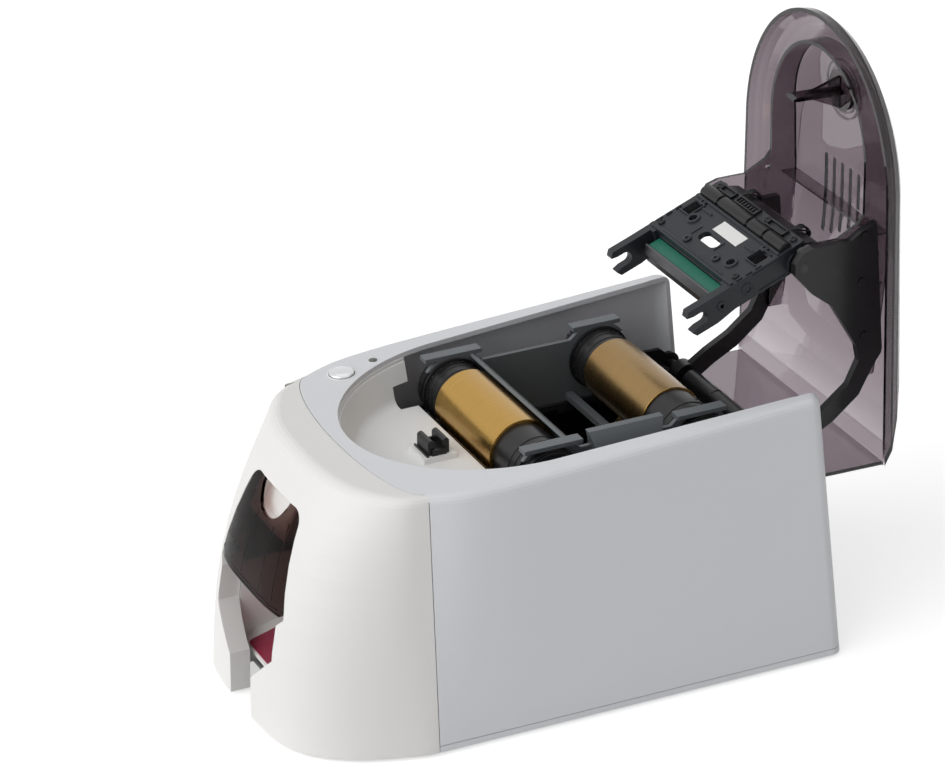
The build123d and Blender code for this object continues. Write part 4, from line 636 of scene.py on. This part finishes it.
def core(name, body, y, ends):
    """Rings, teeth and keys of one core. Its ends are given as (side, distance from the middle)."""
    mesh = bmesh.new()
    for s, end in ends:
        turned(mesh, at(s * end, y, SPOOL_Z), ALONG_X * s, CORE_END, 72)
    for s in (-1, 1):
        for turn in turns(16, 0.1):
            box(mesh, round_core(y, s * 57.0, turn, 17.7), (-1.9, -0.55, -0.5), (1.9, 0.55, 0.35), 0.15)
    for s in (-1, 1):
        for x in (46.0, 51.5):
            turned(mesh, at(s * x, y, SPOOL_Z), ALONG_X, CORE_HOOP, 72)
    piece(name + "_core_rings", mesh, body, "black")

    mesh = bmesh.new()
    for turn in turns(3, 0.5):
        for s in (-1, 1):
            box(mesh, round_core(y, s * 58.0, turn, 12.9), (-7.0, -1.1, -1.0), (7.0, 1.1, 0.7), 0.3)
    piece(name + "_core_keys", mesh, body, "black")


def roll_edge(name, body, y, radius):
    """The slightly uneven edges of the wound film, one at each end of a roll."""
    mesh = bmesh.new()
    for s in (-1, 1):
        random.seed(7 + s)
        steps = [(CORE_RADIUS, 0.0)]
        wound = CORE_RADIUS
        while wound < radius - 0.12:
            height = TURN_STRAY * random.random()
            steps += [(wound + 0.02, height), (wound + 0.11, height)]
            wound += TURN_STEP
        steps += [(radius - 0.02, 0.0), (radius - 0.02, -0.6), (CORE_RADIUS, -0.6), (CORE_RADIUS, 0.0)]
        turned(mesh, at(FILM_MIDDLE + s * FILM_HALF, y, SPOOL_Z), ALONG_X * s, steps, 96)
    piece(name + "_roll_edge", mesh, body, "gold_ribbon")


# ------------------------------------------------------------------ casing
RIM_UP = Vector((0, -math.sin(RIM_TILT), math.cos(RIM_TILT)))
BUTTON_RING = [(7.62, -0.6), (7.62, 0.12), (8.0, 0.3), (8.4, 0.12), (8.5, -0.1), (7.62, -0.6)]
LIGHT_RING = [(2.55, -0.6), (2.55, 0.1), (2.8, 0.2), (3.1, 0.08), (3.15, -0.1), (2.55, -0.6)]
FOOT_RING = [(8.3, 0.5), (8.3, 1.9), (7.6, 1.9), (7.6, 0.5), (8.3, 0.5)]
FEET = ((78, 22), (82, 232), (48, -42))
HINGE_TUBE = [(5.4, 0.0), (6.2, 0.8), (6.2, 30.0), (5.6, 30.4), (5.6, 31.4), (6.2, 31.8),
              (6.2, 66.2), (5.6, 66.6), (5.6, 67.6), (6.2, 68.0), (6.2, 97.2), (5.4, 98.0)]


def button_and_light():
    mesh = bmesh.new()
    lens = [(6.3, -0.4), (6.3, 0.0), *dome(6.1, 0.9, 10), (0.2, 0.9)]
    turned(mesh, rim(*BUTTON_PLACE, 1.5) - RIM_UP * 0.3 * MM, RIM_UP, lens, 64)
    piece("button_lens", mesh, "button", "lens")

    mesh = bmesh.new()
    turned(mesh, rim(*BUTTON_PLACE), RIM_UP, BUTTON_RING, 72)
    turned(mesh, rim(*LIGHT_PLACE), RIM_UP, LIGHT_RING, 48)
    piece("rim_rings", mesh, "casing", "tray")

    mesh = bmesh.new()
    turned(mesh, rim(*LIGHT_PLACE, 0.3), RIM_UP, [(2.0, -0.3), *dome(2.0, 0.7, 8), (0.1, 0.7)], 40)
    piece("status_lens", mesh, "casing", "light")


def catch_ribs():
    mesh = bmesh.new()
    for s in (-1, 1):
        box(mesh, at, (s * 7.6 - 0.8, 37.5, 134.9), (s * 7.6 + 0.8, 46.5, 138.6), 0.3)
    for y in (36.6, 46.2):
        for x in (-4.6, 1.8):
            box(mesh, at, (x, y - 0.35, 137.0), (x + 2.8, y + 1.4, 143.4), 0.3)
    box(mesh, at, (-8.6, 34.2, 134.9), (8.6, 35.4, 136.2), 0.3)
    piece("catch_ribs", mesh, "casing", "black")


def bay_ribs():
    """Ribs on the walls of the cassette bay and on the cross bar, and the bar's two screws."""
    mesh = bmesh.new()
    for s in (-1, 1):
        for y in (72.0, 90.0, 108.0, 126.0, 168.0, 186.0, 212.0):
            box(mesh, at, (s * 72.4 - 1.4, y - 0.8, 96.0), (s * 72.4 + 1.4, y + 0.8, 118.0), 0.3)
        box(mesh, at, (s * 72.6 - 1.2, 66.0, 117.4), (s * 72.6 + 1.2, 150.0, 119.2), 0.3)
    piece("bay_ribs", mesh, "casing", "black")

    mesh = bmesh.new()
    for x in (-48.0 + 12.0 * k for k in range(9)):
        box(mesh, at, (x - 0.8, 205.2, 120.8), (x + 0.8, 213.8, 122.0), 0.25)
    for x in (-60.0, 60.0):
        screw(mesh, at(x, 209.5, 121.0), UPWARDS, 2.6, 1.5)
    piece("cross_bar_ribs", mesh, "casing", "black")


def rear_covers():
    """The tube and plates between the hinge arms, and the deck in front of them."""
    mesh = bmesh.new()
    turned(mesh, at(-49.0, HINGE_Y, HINGE_Z), ALONG_X, HINGE_TUBE, 40)
    for x in (-40.0, -14.0, 14.0, 40.0):
        box(mesh, at, (x - 1.2, 228.4, 96.0), (x + 1.2, 232.4, 110.0), 0.3)
    box(mesh, at, (-49.0, 226.2, 96.5), (49.0, 227.6, 111.5), 0.4)
    box(mesh, at, (-49.0, 226.2, 110.4), (49.0, 230.0, 111.8), 0.4)
    piece("hinge_cover", mesh, "casing", "black")

    mesh = bmesh.new()
    for x0, x1 in ((-73.6, -62.4), (62.4, 73.6)):
        box(mesh, at, (x0, 214.6, 108.5), (x1, 226.0, 110.5), 0.4)
    box(mesh, at, (-49.5, 215.2, 109.5), (49.5, 226.3, 111.3), 0.4)
    for x in (-44.0 + 12.5 * k for k in range(8)):
        box(mesh, at, (x - 0.7, 215.6, 111.0), (x + 0.7, 225.9, 112.2), 0.25)
    piece("rear_deck", mesh, "casing", "black")


def foot_rings():
    mesh = bmesh.new()
    for x, y in FEET:
        for s in (-1, 1):
            turned(mesh, at(x * s, y, 0.0), UPWARDS, FOOT_RING, 48)
    piece("foot_rings", mesh, "casing", "rubber")


# ------------------------------------------------------------------ window
NOSE_FOOT, NOSE_TOP, NOSE_HALF_LOW, NOSE_HALF_HIGH = 2.0, 154.0, 94.6, 82.0
NOSE_REACH, NOSE_RUN_IN, NOSE_POWER = 77.5, 37.5, 2.9
WINDOW_RIBS = ((-27.0, 80.0, 122.0), (-12.0, 79.5, 115.5), (12.0, 79.5, 115.5), (27.0, 80.0, 122.0))
RIB_TAPER = 0.004  # how much nearer the middle a rib is for each millimetre up, as a share
RIB_STEPS = 14
LIP_Z = 77.6
LIP_HALF = 34.0
LIP_STEPS = 30


def nose_front(x, z, inset):
    """Where the face of the nose lies at a place across and a height, set in by a distance."""
    share = (z - NOSE_FOOT) / (NOSE_TOP - NOSE_FOOT)
    width = NOSE_HALF_LOW + (NOSE_HALF_HIGH - NOSE_HALF_LOW) * share - inset
    reach = NOSE_REACH - NOSE_RUN_IN * share**NOSE_POWER - inset
    p = 4.2 - 1.6 * share  # powers of the curve across, which is squarer at the foot
    q = 1.3 + 0.45 * share
    return -reach * (1 - (abs(x) / width) ** p) ** (1 / q)


def window_details():
    mesh = bmesh.new()
    for x, low, high in WINDOW_RIBS:
        heights = [low + (high - low) * k / RIB_STEPS for k in range(RIB_STEPS + 1)]
        tube(mesh, [at(x * (1.0 - RIB_TAPER * (z - 80.0)), nose_front(x, z, 2.75), z) for z in heights], 0.4)
    piece("window_ribs", mesh, "window", "window")

    mesh = bmesh.new()
    places = [-LIP_HALF + 2 * LIP_HALF * k / LIP_STEPS for k in range(LIP_STEPS + 1)]
    tube(mesh, [at(x, nose_front(x, LIP_Z, 2.5), LIP_Z) for x in places], 0.35)
    piece("window_lip", mesh, "window", "window")


# ------------------------------------------------------------------ lid
def hook_rings():
    """Two low rings round the foot of the latch hook, on the lid's inner side."""
    inward = (on_lid(0, 42, 0) - on_lid(0, 42, 10)).normalized()
    mesh = bmesh.new()
    for radius in (13.6, 17.2):
        inner, outer = radius - 0.5, radius + 0.5
        turned(mesh, on_lid(0, 43.0, 18.6), inward,
               [(inner, -0.6), (inner, 0.9), (outer, 0.9), (outer, -0.6), (inner, -0.6)], 72)
    piece("hook_rings", mesh, "lid", "smoked")


head_ridge()
head_face()
head_springs()
head_sides()
core("supply", "supply_spool", SUPPLY_Y, ((-1, 66.0), (1, 66.0)))
core("takeup", "takeup_spool", TAKEUP_Y, ((-1, 71.5), (1, 66.0)))
roll_edge("supply", "supply_spool", SUPPLY_Y, 19.6)
roll_edge("takeup", "takeup_spool", TAKEUP_Y, 18.6)
button_and_light()
catch_ribs()
bay_ribs()
rear_covers()
foot_rings()
window_details()
hook_rings()


# ------------------------------------------------------------------ stage
def seen_rays(tree, least):
    """Adds nodes that give 1 where seen straight, in a reflection or through glass, and else the least."""
    path = tree.nodes.new("ShaderNodeLightPath")
    total = None
    for ray in ("Is Camera Ray", "Is Glossy Ray", "Is Transmission Ray"):
        step = tree.nodes.new("ShaderNodeMath")
        step.operation = "MAXIMUM"
        step.inputs[1].default_value = least
        tree.links.new(path.outputs[ray], step.inputs[0])
        if total:
            tree.links.new(total.outputs[0], step.inputs[1])
        total = step
    return total


def floor():
    """A pale floor that keeps shadows and reads as white where it is seen."""
    mesh = bmesh.new()
    bmesh.ops.create_grid(mesh, x_segments=4, y_segments=4, size=FLOOR_SIZE)
    data = bpy.data.meshes.new("floor")
    mesh.to_mesh(data)
    mesh.free()
    made = bpy.data.objects.new("floor", data)
    bpy.context.scene.collection.objects.link(made)
    look = Finish("floor_paper")
    look.set(Base_Color=(0.8, 0.8, 0.8, 1.0), Roughness=0.9, Specular_IOR_Level=0.0)
    level = look.node("Math", operation="MULTIPLY")
    level.inputs[1].default_value = FLOOR_GLOW
    look.join(seen_rays(look.tree, 0.0), "Value", level, 0)
    glow = look.node("Emission")
    look.join(level, "Value", glow, "Strength")
    both = look.node("AddShader")
    look.join(look.shader, "BSDF", both, 0)
    look.join(glow, "Emission", both, 1)
    look.join(both, "Shader", look.out, "Surface")
    data.materials.append(look.material)


def world():
    """A white room that lights the object at a plain level."""
    made = bpy.data.worlds.new("studio")
    bpy.context.scene.world = made
    made.use_nodes = True
    tree = made.node_tree
    tree.nodes.clear()
    out = tree.nodes.new("ShaderNodeOutputWorld")
    room = tree.nodes.new("ShaderNodeBackground")
    room.inputs["Color"].default_value = (1.0, 1.0, 1.0, 1.0)
    tree.links.new(seen_rays(tree, AMBIENT).outputs[0], room.inputs["Strength"])
    tree.links.new(room.outputs["Background"], out.inputs["Surface"])


def sun(name, source, strength, spread):
    """A wide lamp that shines from a direction, its spread in degrees."""
    lamp = bpy.data.lights.new(name, "SUN")
    lamp.energy = strength
    lamp.angle = math.radians(spread)
    made = bpy.data.objects.new(name, lamp)
    bpy.context.scene.collection.objects.link(made)
    made.rotation_euler = Vector(source).to_track_quat("Z", "Y").to_euler()


def camera():
    """The photograph's view."""
    lens = bpy.data.cameras.new("camera")
    lens.lens = CAMERA_LENS
    lens.sensor_width = CAMERA_SENSOR
    lens.clip_end = CAMERA_REACH
    eye = bpy.data.objects.new("camera", lens)
    bpy.context.scene.collection.objects.link(eye)
    eye.location = CAMERA_PLACE
    level = math.cos(CAMERA_ELEVATION)
    away = Vector((math.sin(CAMERA_AZIMUTH) * level, -math.cos(CAMERA_AZIMUTH) * level,
                   math.sin(CAMERA_ELEVATION)))
    eye.rotation_euler = away.to_track_quat("Z", "Y").to_euler()
    bpy.context.scene.camera = eye


world()
sun("key", (0.1, -1.0, 0.55), 2.05, 75.0)
sun("top", (-0.2, 0.1, 1.0), 0.36, 60.0)
floor()
camera()
bpy.context.scene.view_settings.view_transform = "Standard"
